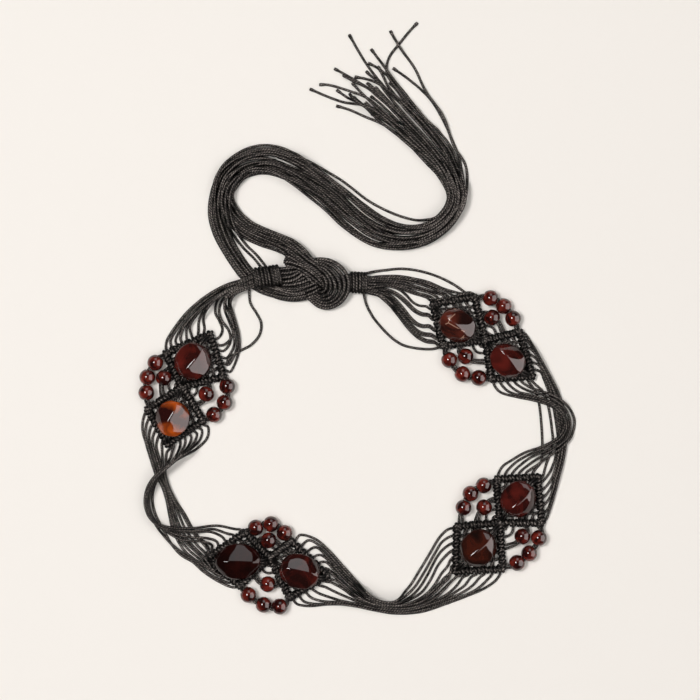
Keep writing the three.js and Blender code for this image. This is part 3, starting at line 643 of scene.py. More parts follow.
for key, (long, wide, roll, twist) in NUGGETS.items():
    motif, diamond = key.rsplit("_", 1)
    length, width = NUGGET_SIZE * long, NUGGET_SIZE * wide
    centre = middle_of(f"large_bead_{key}")
    tip, crossing = on_table(*MOTIFS[motif][diamond]["tip"]), on_table(*MOTIFS[motif]["crossing"])
    axis = (crossing - tip).xy.normalized()
    stone = drawn_nugget(length, width, roll, twist, 0.8 if long > 1.2 else 0.62)
    ridge_nugget(stone, length, width, roll, twist)
    stone.name = f"nugget_{key}"
    stone.data.name = stone.name
    ridges = stone.modifiers.new("rounding", "SUBSURF")
    ridges.levels = 2
    ridges.render_levels = 2
    bpy.ops.object.modifier_apply(modifier=ridges.name)
    bpy.ops.object.shade_smooth()
    seat_piece(stone, centre, axis)
    note_ends(stone, centre, axis, length / 2)
    stone.data.materials.append(NUGGET_STONES.get(key, dark_agate))
    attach(stone, "root")
    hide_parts(f"large_bead_{key}")
    pair = []
    for shift in (-PAIR, PAIR):
        sideways = Vector((-axis.y, axis.x)) * shift
        spots = [centre.xy + sideways + axis * (reach * length) for reach in (-0.54, -0.3, 0.3, 0.54)]
        raised = [Vector((spot.x, spot.y, centre.z)) for spot in spots]
        pair.append(cord_route([tip + Vector((0, 0, NUGGET_CORD_END)) + sideways.to_3d(), *raised,
                                crossing + Vector((0, 0, NUGGET_CORD_END)) + sideways.to_3d()]))
    thread = cord_piece(f"nugget_cords_{key}", [(route, CORD, UPWARD) for route in pair])
    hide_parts(f"knotted_frame_{motif}")

# Between the motifs and up to the knot the cords run free. They are laid one after
# another, so that each lies on the table or on the cords that were laid before it.
MAP_CELL = 0.0002
MAP_ORIGIN = np.array([cad_low[0] - 0.01, cad_low[1] - 0.01])
map_shape = ((np.array(cad_high[:2]) - np.array(cad_low[:2]) + 0.02) / MAP_CELL).astype(int)
heights = np.zeros(tuple(map_shape))
reach_cells = int(CORD / 2 / MAP_CELL)
cell_range = range(-reach_cells, reach_cells + 1)
offsets = np.array([(i, j) for i in cell_range for j in cell_range
                    if (i * i + j * j) * MAP_CELL ** 2 < (CORD / 2) ** 2])
domes = np.sqrt((CORD / 2) ** 2 - (offsets ** 2).sum(axis=1) * MAP_CELL ** 2)
SAG_SPAN = 7
LAID_STEP = 0.0006
LAID_CEILING = 0.012
LEAVE_HEIGHT = 0.0014
LEAVE_REACH = 0.0024
WANDER = 0.00012


def laid(points, ceiling=LAID_CEILING):
    """The route of a cord that rests on what is laid already, and then counts as laid too."""
    route = cord_route(points, LAID_STEP)
    cells = ((route[:, :2] - MAP_ORIGIN) / MAP_CELL).astype(int)
    under = (cells[:, 0][:, None] + offsets[:, 0], cells[:, 1][:, None] + offsets[:, 1])
    rest = np.maximum((heights[under] + domes).max(axis=1), CORD / 2)
    padded = np.pad(rest, SAG_SPAN, mode="edge")
    highest = np.array([padded[i:i + 2 * SAG_SPAN + 1].max() for i in range(len(rest))])
    bell = np.exp(-np.linspace(-2, 2, 2 * SAG_SPAN + 1) ** 2)
    lifted = np.convolve(np.pad(highest, SAG_SPAN, mode="edge"), bell / bell.sum(), mode="valid")
    route[:, 2] = np.clip(np.maximum(lifted, route[:, 2]), 0.0, ceiling)
    np.maximum.at(heights, under, route[:, 2][:, None] + domes)
    return cord_route(route[::2])


def from_row(motif, diamond, side, count):
    """Where a cord leaves a row: inside the wraps, and just beyond their outer edge."""
    corners = MOTIFS[motif][diamond]
    inside = place_on_row(motif, diamond, "tip", side, count, LEAVE_HEIGHT)
    tip, corner = on_table(*corners["tip"]), on_table(*corners[side])
    crossing = on_table(*MOTIFS[motif]["crossing"])
    edge = (corner - tip).normalized()
    away = Vector((-edge.y, edge.x, 0))
    if away.dot(crossing - tip) > 0:
        away = -away
    return [inside, inside + away * LEAVE_REACH]


def strand(start, via, end, chance):
    """The places of a cord from row to row, each moved a little off its chosen spot."""
    wander = [Vector((chance.uniform(-1, 1), chance.uniform(-1, 1), 0)) * WANDER for _ in via]
    places = [on_table(x, y, 0.0) + shift for (x, y), shift in zip(via, wander)]
    return [*start, *places, *reversed(end)]


STRAND_LINKS = {
    "strand_link_left": ("left", "lower_left", 7, [
        (("out", 6), ("out", 4), [(142.5, 428), (146.5, 445), (151, 460), (155.5, 474), (162, 486),
            (166.5, 500), (169.5, 515), (173, 530), (179, 543), (186, 552), (196, 560)]),
        (("out", 5), ("out", 3.4), [(145.5, 433), (149, 449), (153.5, 464), (158.5, 477),
            (164.5, 489), (168, 503), (171, 517), (175, 531), (182, 542), (191, 552), (200, 559)]),
        (("out", 4), ("out", 2.8), [(149, 437), (152.5, 452), (157, 466), (161.5, 478), (166.5, 490),
            (170.5, 504), (173.5, 517), (178, 530), (185, 541), (194, 550), (202, 557)]),
        (("out", 3), ("out", 2.2), [(152.5, 441), (156, 455), (160, 468), (163.5, 479), (168, 491),
            (172.5, 504), (176, 516), (181, 529), (188, 540), (196, 549), (204, 556)]),
        (("out", 2), ("out", 1.4), [(156.5, 446), (159.5, 459), (162.5, 470), (165, 480),
            (169.5, 492), (174.5, 504), (179.5, 516), (185, 528), (192, 539), (199, 547), (206, 554)]),
        (("out", 1), ("in", 1), [(162, 451), (163, 462), (164.5, 472), (166.5, 481), (170.5, 492),
            (176, 503), (182.5, 514), (188.5, 525), (195, 535), (203, 543), (208, 549)]),
        (("in", 0.6), ("in", 0.7), [(167, 452), (166, 463), (165.5, 473), (168, 483), (172, 493),
            (178, 504), (185, 515), (191, 526), (198, 536), (205, 543), (209, 549)]),
        (("in", 1), ("out", 6), [(172.5, 450), (170, 459), (165, 468), (158.5, 478), (154, 489),
            (152.5, 501), (155, 513), (161, 525), (167, 536), (173, 546), (182, 555.5), (193, 562),
            (203, 571), (216, 580), (229, 586)]),
        (("in", 2), ("out", 5), [(180, 447), (176.5, 456), (169, 465.5), (160.5, 474.5),
            (153.2, 485.5), (149.8, 499), (151, 513), (157, 525), (164.5, 536), (173.2, 545.5),
            (185, 554.5), (196.5, 562), (208.5, 573)]),
        (("in", 2.8), ("in", 1.4), [(185.5, 442), (181.5, 452), (173, 462), (162.5, 472),
            (154.5, 483), (149.5, 497), (150.5, 511), (157, 522.5), (167, 531.5), (179, 538),
            (192, 540.5), (204, 541), (212, 545)]),
        (("in", 3.6), ("in", 2.4), [(191.5, 437), (188, 447), (178, 458.5), (166, 469),
            (155.5, 479.5), (148.8, 492.5), (148.2, 507), (154, 519.5), (164.5, 528.5), (178, 534.5),
            (192, 537), (206.5, 537.5), (217, 542)]),
        (("in", 4.4), ("in", 3.5), [(197, 433.5), (194, 442.5), (184, 454), (169.5, 465),
            (156.7, 476), (148.2, 489.5), (147, 504.5), (152, 517), (163, 526.5), (177, 531),
            (194, 532), (210, 531.5), (221.5, 536.5)]),
        (("in", 5.2), ("in", 4.8), [(202, 430), (200, 439.5), (189, 451), (173, 462), (158.5, 473),
            (149, 486), (146.2, 501.5), (150, 515), (160.5, 525), (175.5, 529.5), (194.5, 530.5),
            (212.5, 529), (227, 533.5)]),
        (("in", 6), ("in", 6), [(208, 426.5), (207.5, 437), (197.5, 448), (180, 458), (163.5, 468.5),
            (151.5, 482), (147, 497), (149, 511), (158.5, 522.5), (174, 527.5), (195, 527.5),
            (217, 525.5), (235, 529)]),
    ]),
    "strand_link_lower": ("lower_left", "lower_right", 0, [
        (("out", 6), ("out", 6), [(297, 604), (309, 606), (328, 604.4), (349, 604.8), (372, 609.6),
            (396, 613.2), (422, 611.5), (445, 604), (466, 596), (484, 588.5), (496, 580)]),
        (("out", 5), ("out", 5), [(304, 601.5), (316, 603.8), (334, 603.4), (354, 605.2), (377, 610),
            (400, 612.6), (424, 609.5), (445, 602), (463, 595.5), (478, 588), (488, 579)]),
        (("out", 4), ("out", 4), [(311, 597.5), (323, 601), (338.5, 602.2), (357, 605), (380, 609.6),
            (402, 611.4), (425, 607), (445, 600), (459, 594), (472, 586), (480, 577)]),
        (("out", 3), ("out", 3), [(318, 593), (329, 597), (343, 600.5), (360, 604), (381, 608.4),
            (403, 610), (425, 605.5), (443, 599), (455, 592), (465, 585), (471, 577)]),
        (("out", 2), ("out", 2), [(325, 587), (335, 591.5), (347.5, 597.5), (362.5, 603),
            (382, 607.4), (404, 608.8), (424, 604.5), (440, 598.5), (450, 591.5), (457, 585),
            (463, 577)]),
        (("out", 1), ("out", 1), [(331, 582), (341, 587.5), (352.5, 595), (366, 601.5), (384, 606.4),
            (404, 607.6), (423, 603.5), (436, 596.5), (445, 588), (451, 581), (457, 576)]),
        (("out", 0.5), ("out", 0.5), [(335, 580), (344, 587), (354, 595), (368, 602), (388, 606),
            (407, 606), (426, 601.5), (438, 594), (447, 585)]),
        (("in", 0.5), ("in", 0.5), [(336, 577), (345, 585), (356, 594), (370, 601.5), (388, 605),
            (406, 604.6), (423, 600), (434, 592.5), (443.5, 583), (449, 577)]),
        (("in", 1), ("in", 1), [(332, 572), (341, 581), (352, 591), (366, 599.6), (384, 604.4),
            (402, 605), (418.5, 600), (431, 592), (438, 585), (444, 578), (450.5, 571.5)]),
        (("in", 2), ("in", 2), [(326, 562), (335, 571), (347, 583), (361, 593.5), (376, 601.2),
            (394, 604.2), (411, 601.5), (425, 594.5), (434, 585), (441.5, 573.5), (447.3, 566.5)]),
        (("in", 3), ("in", 3), [(321, 555), (332, 564), (344, 577), (358, 589), (373, 599.2),
            (391, 603.4), (407, 600.5), (421, 592.5), (430.5, 579.5), (438, 565), (445, 556.5)]),
        (("in", 4), ("in", 4), [(316, 547), (328, 557), (341, 570.5), (355, 584), (370, 596.4),
            (388, 602), (404, 599.6), (417.5, 590), (427.5, 575), (436.5, 557.5), (443, 549.6)]),
        (("in", 5), ("in", 5), [(309, 540), (323, 548.5), (337, 563), (351.5, 578.5), (366, 593),
            (383.5, 601), (400, 599.2), (413.5, 588), (424, 572), (434, 554.5), (442.5, 541.3)]),
        (("in", 6), ("in", 6), [(300, 535), (315, 539), (329, 550.5), (344, 567), (359, 583.5),
            (376, 597.5), (393, 600.2), (408, 588), (419.5, 570), (430, 553), (439.5, 537.5),
            (447, 530)]),
    ]),
    "strand_link_right": ("lower_right", "right", 8, [
        (("in", 1), ("in", 1), [(541.3, 461), (542.3, 446), (541, 421), (538.5, 402), (535, 391)]),
        (("out", 0.5), ("in", 0.5), [(546, 464), (550.5, 452), (552.5, 441), (552, 430), (550.5, 418),
            (547.5, 403), (543, 392)]),
        (("out", 1), ("out", 1), [(549, 473), (553.5, 463), (556, 455), (557.5, 446), (557.5, 436),
            (556, 422), (553, 406), (550, 396), (548.5, 391), (546, 384.5), (543.5, 378), (541, 372)]),
        (("out", 2), ("out", 2), [(551, 479), (555, 469), (557.5, 459), (559, 449), (559.5, 438),
            (558, 424), (555, 407), (551.5, 394.5), (549, 386.5), (545.5, 379), (542, 372),
            (539.5, 366)]),
        (("out", 3), ("out", 3), [(551, 487), (555, 475), (558, 463), (560.5, 452), (561.3, 440),
            (560, 425), (557, 407), (552.5, 393.5), (549, 384.5), (545, 376), (540.5, 367),
            (537, 360)]),
        (("out", 4), ("out", 4), [(550.5, 495), (555, 481), (558.7, 467), (561.5, 454), (562.8, 441),
            (562, 426), (559, 407), (554, 393), (549.5, 382.5), (544.5, 372.5), (539.5, 363),
            (535, 354)]),
        (("out", 5), ("out", 5), [(550.5, 503), (555, 487), (559, 471), (562.5, 456), (564.3, 442),
            (564.3, 426), (561, 406.5), (555.5, 392), (550, 381), (544, 369.5), (538, 358.5),
            (532.5, 348)]),
        (("out", 6), ("out", 6), [(549, 511), (554.5, 492), (559, 475), (563.3, 458), (565.8, 443),
            (566.3, 426), (563, 406), (557, 390.5), (551, 379), (544.5, 367), (538, 355.5),
            (531, 343.5)]),
        (("in", 2), ("in", 2), [(538, 464), (549, 456), (562.5, 446), (571.8, 434.5), (574.4, 421),
            (569.6, 408.6), (557.5, 398), (544.5, 392.5), (531, 388)]),
        (("in", 3), ("in", 3), [(530.5, 463.5), (542, 455.5), (556, 447), (566.6, 437), (570, 423.5),
            (566, 411), (556.5, 401), (541.5, 394.5), (525, 389.5)]),
        (("in", 4), ("in", 4), [(523, 463), (535, 455), (549, 449), (561.5, 441.5), (567.6, 432),
            (567.4, 421.4), (560.4, 410), (547.6, 400.3), (532.7, 395.2), (517.7, 391.6)]),
        (("in", 5), ("in", 5), [(513, 464.5), (523, 457.5), (536, 451), (549.5, 445), (559.6, 438.6),
            (565, 430.5), (564.8, 421.4), (559.6, 412.4), (548, 402.7), (532.5, 397.6), (509, 392)]),
        (("in", 6), ("in", 6), [(503, 466), (512, 460), (524, 453), (540, 447), (552.6, 441),
            (561, 433), (564, 423), (560.9, 413.6), (549, 405.3), (532.7, 400.1), (516, 396.6),
            (499.5, 391.6)]),
    ]),
}
for name, (first, last, below, cords) in STRAND_LINKS.items():
    chance = random.Random(name)
    routes = []
    for (leave_side, leave), (reach_side, reach), via in [
            *cords[0:below:2], *cords[1:below:2], *cords[below::2], *cords[below + 1::2]]:
        start = from_row(first, "far", leave_side, leave)
        end = from_row(last, "near", reach_side, reach)
        routes.append(laid(strand(start, via, end, chance)))
    link = cord_piece(name + "_cords", [(route, CORD, UPWARD) for route in routes])
    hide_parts(name)

# The tail is the cords of both ends together. Two roots leave the knot, join in one
# bundle that bends twice, and fan out in a fringe whose cord ends are melted to beads.
TAIL_STATIONS = [
    (226, 183, 15.8), (237, 170, 15.6), (251, 163, 16.4), (269, 161.5, 17.6), (291, 169, 19),
        (313, 182, 19.6),
    (334, 198, 20), (354, 216, 20.6), (377, 231, 20), (401, 237, 16.6), (425, 234, 13.6),
        (446, 220, 12.4),
    (456.5, 200, 13.2),
]
ROOT_A = [(307, 263, 10.5, 7.5), (298, 255, 12, 6.4), (289, 248, 12, 4.4), (278, 242.5, 12, 2.2),
    (262, 236.5, 12.5, 0), (246, 228.5, 12.5, 0), (232, 214, 11.5, 0), (226.5, 199, 10, 0)]
ROOT_B = [(305, 293, 8, 4.6), (292, 294.5, 8, 3), (278, 292, 8.6, 1), (262, 286, 9.5, 0),
    (248, 275, 10, 0), (231, 251, 11, 0), (221, 230, 11.5, 0), (216.5, 208, 11, 0)]
FRINGE = [
    [(468.2, 186), (466, 167.5), (454, 147), (443, 116.6), (426, 92.4), (414.5, 68.2), (398.8, 46.4),
        (389.7, 30)],
    [(464.5, 180), (459.5, 160), (452, 140), (442, 118), (431.5, 101), (421.2, 90), (406.6, 77.9),
        (392, 67.6)],
    [(461, 180), (452, 156), (440, 138), (424, 120), (408, 103), (396, 88), (387.5, 76), (386.6, 66),
        (390, 56), (398.8, 44.5), (409, 32), (418.1, 22.1)],
    [(462.5, 182), (457, 162), (448, 143), (437, 130), (426, 120.3), (413.9, 105.7), (399.4, 87.5),
        (387.2, 71.8), (378.8, 59.7), (370.9, 49)],
    [(460, 184), (454, 165), (444, 147), (430, 128), (416.3, 110.6), (404.2, 92.4), (389.7, 77.9),
        (377.5, 68.2), (367.9, 63.3)],
    [(458.5, 182), (450, 163), (438, 146), (420, 125), (402, 105), (390, 94), (384.8, 87.5),
        (377.5, 79), (366.6, 64.5), (357, 48.8), (349.1, 34.6)],
    [(457.5, 184), (451, 168), (440, 150), (422, 128), (404, 108), (393, 93), (387.2, 85),
        (383.6, 77.9), (377.2, 65.7)],
    [(456, 183), (448, 166), (434, 148), (415, 127), (398, 108), (386, 93), (377.5, 81.5),
        (370.5, 76), (366, 71.2)],
    [(459.5, 186), (453, 170), (444, 152), (432, 134), (420, 120), (406.6, 107), (392, 93.6),
        (377.5, 83.9), (365.4, 79), (354.5, 77.2)],
    [(455, 186), (448, 170), (438, 154), (424, 136), (408, 120), (392, 105), (380, 94), (372, 87),
        (366, 82.7)],
    [(453.5, 184), (444, 167), (432, 152), (416, 134), (398, 116), (386, 103), (377.5, 94.8),
        (363, 85), (348.5, 76.6), (333.3, 68.2)],
    [(454, 188), (446, 172), (434, 155), (418, 137), (400, 119), (388, 106), (378.8, 98),
        (367.9, 88.8), (353.3, 81.5), (341.8, 74.8)],
    [(451.5, 186), (442, 170), (430, 155), (414, 139), (398, 126), (386, 117), (378.8, 110.6),
        (370.3, 102), (358.2, 90), (352, 83.3)],
    [(452.5, 190), (444, 174), (430, 157), (412, 140), (394, 121), (382, 110), (372.7, 102),
        (365.4, 97.2), (346, 90), (327.9, 85), (318.2, 84.9)],
    [(450, 188), (440, 171), (426, 156), (408, 139), (394, 125), (382.4, 113), (363, 105.7),
        (342.4, 102), (324.2, 95.4), (309.7, 89)],
    [(449, 186), (438, 169), (422, 153), (404, 138), (390, 124), (375, 111.8), (360.6, 104.5),
        (348.5, 98.5), (335.7, 89.4)],
    [(449.5, 190), (440, 174), (426, 160), (408, 145), (392, 131), (378.8, 121.5), (367.9, 110.6),
        (353.3, 99.7), (348.8, 93.6)],
    [(447.5, 190), (438, 176), (426, 163), (412, 148), (396.9, 134), (382.4, 124.5), (365.4, 117),
        (348.5, 109.6), (335.1, 105.7)],
    [(446.5, 191), (443, 179), (434, 164), (421, 151), (404.2, 139.7), (387.2, 127.5), (372, 114),
        (362, 104), (353, 97)],
    [(448, 192), (444.5, 178), (434, 160), (419, 146), (402, 133.5), (388, 123.5), (376, 115),
        (366, 106)],
]
IN_BETWEEN = [(4, 6, 0.74), (7, 10, 0.72), (9, 11, 0.84), (11, 13, 0.7), (12, 16, 0.8), (14, 17, 0.66)]
SEPARATE_CORDS = [
    [(264, 271), (254, 258.5), (242.5, 247), (233, 234), (228, 221), (226, 206), (228, 190),
        (237, 178)],
    [(267, 268), (257, 255.5), (245, 243.5), (236, 230), (231.5, 217), (230, 203), (233, 188),
        (243, 176)],
    [(290, 157), (306, 161), (322, 169), (340, 179.5), (351.6, 188), (367, 200), (385, 210),
        (402.5, 217), (420, 220.5), (434.6, 218.5), (445, 209), (449, 196)],
    [(213, 199), (215.5, 181), (226, 163.5), (243, 151), (262, 145.4), (280, 147.6), (298, 156),
        (312, 166)],
]


def beside(stations, lateral, index):
    """A place beside the middle line of a bundle, as a share of its half width."""
    here = on_table(*stations[index][:2])
    before = on_table(*stations[max(index - 1, 0)][:2])
    after = on_table(*stations[min(index + 1, len(stations) - 1)][:2])
    ahead = (after - before).normalized()
    right = Vector((ahead.y, -ahead.x, 0))
    return here + right * (lateral * (stations[index][2] * MM - CORD) / 2)


TAIL_END = (457.5, 180, 14)


def share_across(place):
    """How far to the right of the tail's middle a fringe cord starts, from -1 to 1."""
    return (place[0] - TAIL_END[0]) / 10 + (place[1] - 185) / 60


def blended(first, second, cut):
    """A cord between two others that ends before them."""
    shares = np.linspace(0, cut, 9)
    ways = []
    for way in (first, second):
        line = np.array(way, float)
        run = np.linspace(0, 1, len(line))
        ways.append(np.stack([np.interp(shares, run, line[:, axis]) for axis in (0, 1)], axis=1))
    return [tuple(place) for place in (ways[0] + ways[1]) / 2]


chance = random.Random("tail")
fringe = FRINGE + [blended(FRINGE[a], FRINGE[b], cut) for a, b, cut in IN_BETWEEN]
ranks = sorted(range(len(fringe)), key=lambda number: share_across(fringe[number][0]))
cords = []
LAYERS = 3
TAIL_CEILING = 0.0085
TAIL_DRIFT = 0.4
MELTED_END = CORD * np.array([1.2, 1.35, 1.1])
for number in [rank for layer in range(LAYERS) for rank in ranks[layer::LAYERS]]:
    rank = 2 * ranks.index(number) / (len(fringe) - 1) - 1
    root, lateral = (ROOT_A, 2 * rank - 1) if rank > 0 else (ROOT_B, 2 * rank + 1)
    places = []
    for index in range(len(root)):
        place = beside(root, max(-1, min(1, lateral + chance.uniform(-0.12, 0.12))), index)
        place.z = root[index][3] * MM
        places.append(place)
    drift = chance.uniform(-TAIL_DRIFT, TAIL_DRIFT)
    phase = chance.uniform(0, 6.28)
    for index in range(len(TAIL_STATIONS)):
        wander = drift * math.sin(index * 0.8 + phase)
        places.append(beside([*TAIL_STATIONS, TAIL_END], max(-1, min(1, rank + wander)), index))
    places += [on_table(x, y) for x, y in fringe[number][1:]]
    route = laid(places, TAIL_CEILING)
    thickness = np.full(len(route), CORD)
    thickness[-3:] = MELTED_END
    cords.append((route, thickness, UPWARD))
for places in SEPARATE_CORDS:
    cords.append((laid([on_table(x, y) for x, y in places]), CORD, UPWARD))
tail = cord_piece("tail_cords", cords)
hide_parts("tail")

# At both ends the cords of the end motifs gather in a neck, which a wound cord whips
# tight before the two necks are tied in the knot.
LEADS = {
    "left_lead": ("left", "near", (262, 277.6, 6.6), (1, -0.13), [
        (("out", 6), [(166.5, 342), (174.5, 328), (188, 311.5), (205, 297), (226, 285), (244, 279.5)]),
        (("out", 5.3), [(170.5, 341), (177.5, 328.5), (190.5, 313), (207, 299), (227, 287),
            (244, 281)]),
        (("out", 4.6), [(175.5, 340.5), (181, 329), (193.5, 314.5), (209.5, 300), (229, 288.5),
            (245, 282)]),
        (("out", 3.9), [(180.5, 339), (183, 329.5), (193, 316), (208.5, 302.5), (227, 291),
            (245, 283.5)]),
        (("out", 3.2), [(186.5, 337), (187, 328), (195, 316), (210, 301.5), (228, 289.5),
            (246, 282.5)]),
        (("out", 2.5), [(191.5, 335), (190, 327), (196.5, 316), (210.5, 302), (229, 291),
            (246, 284.5)]),
        (("out", 1.7), [(198.5, 331.5), (199, 321), (205, 309.5), (216, 298.5), (232, 288),
            (247, 281)]),
        (("out", 0.9), [(204.5, 328), (203.5, 319), (208.5, 308), (219, 297), (233, 289.5),
            (247, 284)]),
        (("in", 1.2), [(219.5, 337), (222.5, 330), (219.5, 321), (215.5, 313), (217, 302.5),
            (226, 293), (246, 285.5)]),
        (("in", 2), [(222, 345.5), (230, 340), (234, 330), (231, 317), (226.5, 306), (227.5, 295),
            (238, 288.5), (247, 285.5)]),
        (("in", 2.8), [(223.5, 351), (230, 343), (229, 331), (222, 321), (219, 311), (222, 301),
            (232, 292), (247, 286.5)]),
        (("in", 3.7), [(226, 358.5), (232, 351), (235, 340), (232, 328), (227, 316), (225, 304),
            (230, 294), (246, 288)]),
        (("in", 4.6), [(228, 365), (233.5, 357), (237.5, 345), (237, 332), (233, 318), (229, 305),
            (231, 296), (245, 289)]),
        (("in", 5.6), [(230, 372), (236, 361), (239.5, 347), (238.5, 333), (234.5, 318), (231, 304),
            (234, 296), (245, 290)]),
    ]),
    "right_lead": ("right", "far", (357, 282.8, 4.1), (-1, -0.05), [
        (("out", 6.1), [(461, 293.5), (452.6, 291.5), (443, 288.5), (428.4, 282.2), (413.7, 278.6),
            (399, 276.2), (384, 276.2), (368, 277.5)]),
        (("out", 5.2), [(453.5, 296), (449, 293), (441.6, 289.6), (429.8, 285), (415, 280.6),
            (400.5, 278), (384.3, 277.8), (368, 278.6)]),
        (("out", 4.4), [(449.5, 297.5), (446, 294.5), (440, 292), (431.3, 287.9), (417.4, 283.8),
            (402, 280.6), (384.3, 279.6), (368, 280)]),
        (("out", 3.6), [(445, 299), (442.5, 295.6), (437, 293.4), (428.4, 290), (417.4, 287),
            (403.4, 283.2), (385.8, 281.4), (368, 281.4)]),
        (("out", 2.8), [(439.5, 300), (437, 297), (432, 294), (425, 291.6), (415, 289), (403, 285.8),
            (387, 283.4), (368, 283)]),
        (("out", 2), [(435, 300.5), (431.5, 297.5), (425, 295), (417.4, 293), (409, 290), (400, 287),
            (386, 284.4), (368, 284.4)]),
        (("out", 1), [(430.5, 300.5), (427, 297.8), (421, 295.6), (413.7, 293.6), (406, 290.6),
            (398, 287.4), (384, 285.4), (368, 285.6)]),
        (("in", 0.8), [(426.5, 306.6), (419, 305.6), (412.5, 302), (406.6, 295.6), (399.5, 290),
            (388, 286.4), (368, 286.8)]),
        (("in", 2), [(428.5, 314.3), (422.5, 313.4), (415, 309.6), (406.4, 300.9), (396, 293),
            (384.3, 288.8), (368, 288)]),
        (("in", 2.4), [(428.5, 316), (421.8, 315.2), (414.2, 311.4), (405.4, 303), (395.6, 295),
            (384, 290.4), (368, 289)]),
        (("in", 3.7), [(429, 325.4), (423.2, 325.5), (417.4, 323.4), (410.8, 317.6), (402, 306.6),
            (393, 297.4), (382.9, 291.6), (368, 289.8)]),
        (("in", 4), [(429, 327), (422.4, 327), (416.6, 325), (409.6, 319.4), (400.6, 308.8),
            (391.6, 299.2), (381.4, 293), (368, 290.6)]),
        (("in", 4.8), [(430.5, 334), (424.7, 333.4), (417.6, 330.4), (409.6, 322.6), (400.6, 311.6),
            (391, 301), (380, 293.8), (368, 291.2)]),
        (("in", 5.2), [(431, 336), (424.4, 335.4), (416.8, 332.2), (408.6, 324.2), (399.4, 313),
            (390, 302.2), (379.4, 294.6), (368, 291.8)]),
        (("in", 5.9), [(434, 341.4), (425.6, 339.8), (416, 333.8), (407.8, 325.4), (398.6, 313.8),
            (389, 303), (378.6, 295.2), (368, 292.4)]),
        (("in", 6.3), [(436, 343.4), (425.4, 341.8), (415, 335.6), (406.6, 326.8), (397.6, 315),
            (388, 304), (377.8, 295.8), (368, 293)]),
    ]),
}
NECK_WIDE = 0.0104
NECK_CEILING = 0.0072
NECK_RISE = 0.022
for name, (motif, diamond, (neck_x, neck_y, neck_z), neck_way, cords) in LEADS.items():
    chance = random.Random(name)
    neck = on_table(neck_x, neck_y, neck_z * MM)
    way = Vector((neck_way[0], -neck_way[1], 0)).normalized()
    across = Vector((-way.y, way.x, 0))
    routes = []
    for number in [*range(0, len(cords), 2), *range(1, len(cords), 2)]:
        (side, count), via = cords[number]
        spread = 1 - 2 * number / (len(cords) - 1)
        level = (number % 3 - 1) * CORD * 0.9
        lean = 1 if name == "left_lead" else -1
        rounding = 1 - 0.15 * abs(number % 3 - 1)
        in_neck = neck + across * (lean * spread * (NECK_WIDE - CORD) / 2 * rounding)
        in_neck.z += level * (1 - 0.5 * abs(spread))
        start = from_row(motif, diamond, side, count)
        places = [on_table(x, y, 0.0) for x, y in via]
        flat = laid([*start, *places, in_neck], NECK_CEILING)
        rise = np.clip(1 - np.linalg.norm(flat[:, :2] - np.array(in_neck)[:2], axis=1) / NECK_RISE, 0, 1)
        ease = rise * rise * (3 - 2 * rise)
        flat[:, 2] = flat[:, 2] * (1 - ease) + in_neck.z * ease
        routes.append(flat)
    lead = cord_piece(name + "_cords", [(route, CORD, UPWARD) for route in routes])
    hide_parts(name)

# Each neck is whipped with a single cord wound close round it. Every turn is pushed a
# little out of line, and a second layer fills the space below the turns.
WHIPPINGS = {
    "left_whipping": ((254.2, 278.9), (280.6, 275.3), 7.6),
    "right_whipping": ((348.6, 282.3), (366.2, 283.2), 5.4),
}
WHIP_CORD = 0.0019
WHIP_WIDE = 0.0138
WHIP_STEPS = 28
for name, (start, end, turns) in WHIPPINGS.items():
    chance = random.Random(name)
    low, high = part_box(name)
    middle_z = (low[2] + high[2]) / 2
    first, last = on_table(*start, middle_z), on_table(*end, middle_z)
    way = (last - first).normalized()
    across = Vector((-way.y, way.x, 0))
    wide = WHIP_WIDE / 2 - WHIP_CORD / 2
    tall = (high[2] - low[2]) / 2 - WHIP_CORD / 2
    steps = int(turns * WHIP_STEPS)
    pushes = [chance.uniform(-0.0003, 0.0003) for _ in range(int(turns) + 2)]
    wound = []
    for step in range(steps + 1):
        turn = step / WHIP_STEPS
        push = pushes[int(turn)] + (pushes[int(turn) + 1] - pushes[int(turn)]) * (turn % 1)
        angle = 2 * math.pi * turn + 0.6
        slant = math.sin(angle) * 0.0007
        centre = first.lerp(last, turn / turns) + way * (push + slant)
        wound.append(centre + across * (math.cos(angle) * wide)
                     + Vector((0, 0, math.sin(angle) * (tall + push))))
    under = [Vector(point) - (Vector(point) - (first + last) / 2) * 0.12 for point in wound]
    layers = [(np.array(turned), WHIP_CORD, tuple(way)) for turned in (wound, under)]
    whip = cord_piece(name + "_turns", layers)
    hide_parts(name)

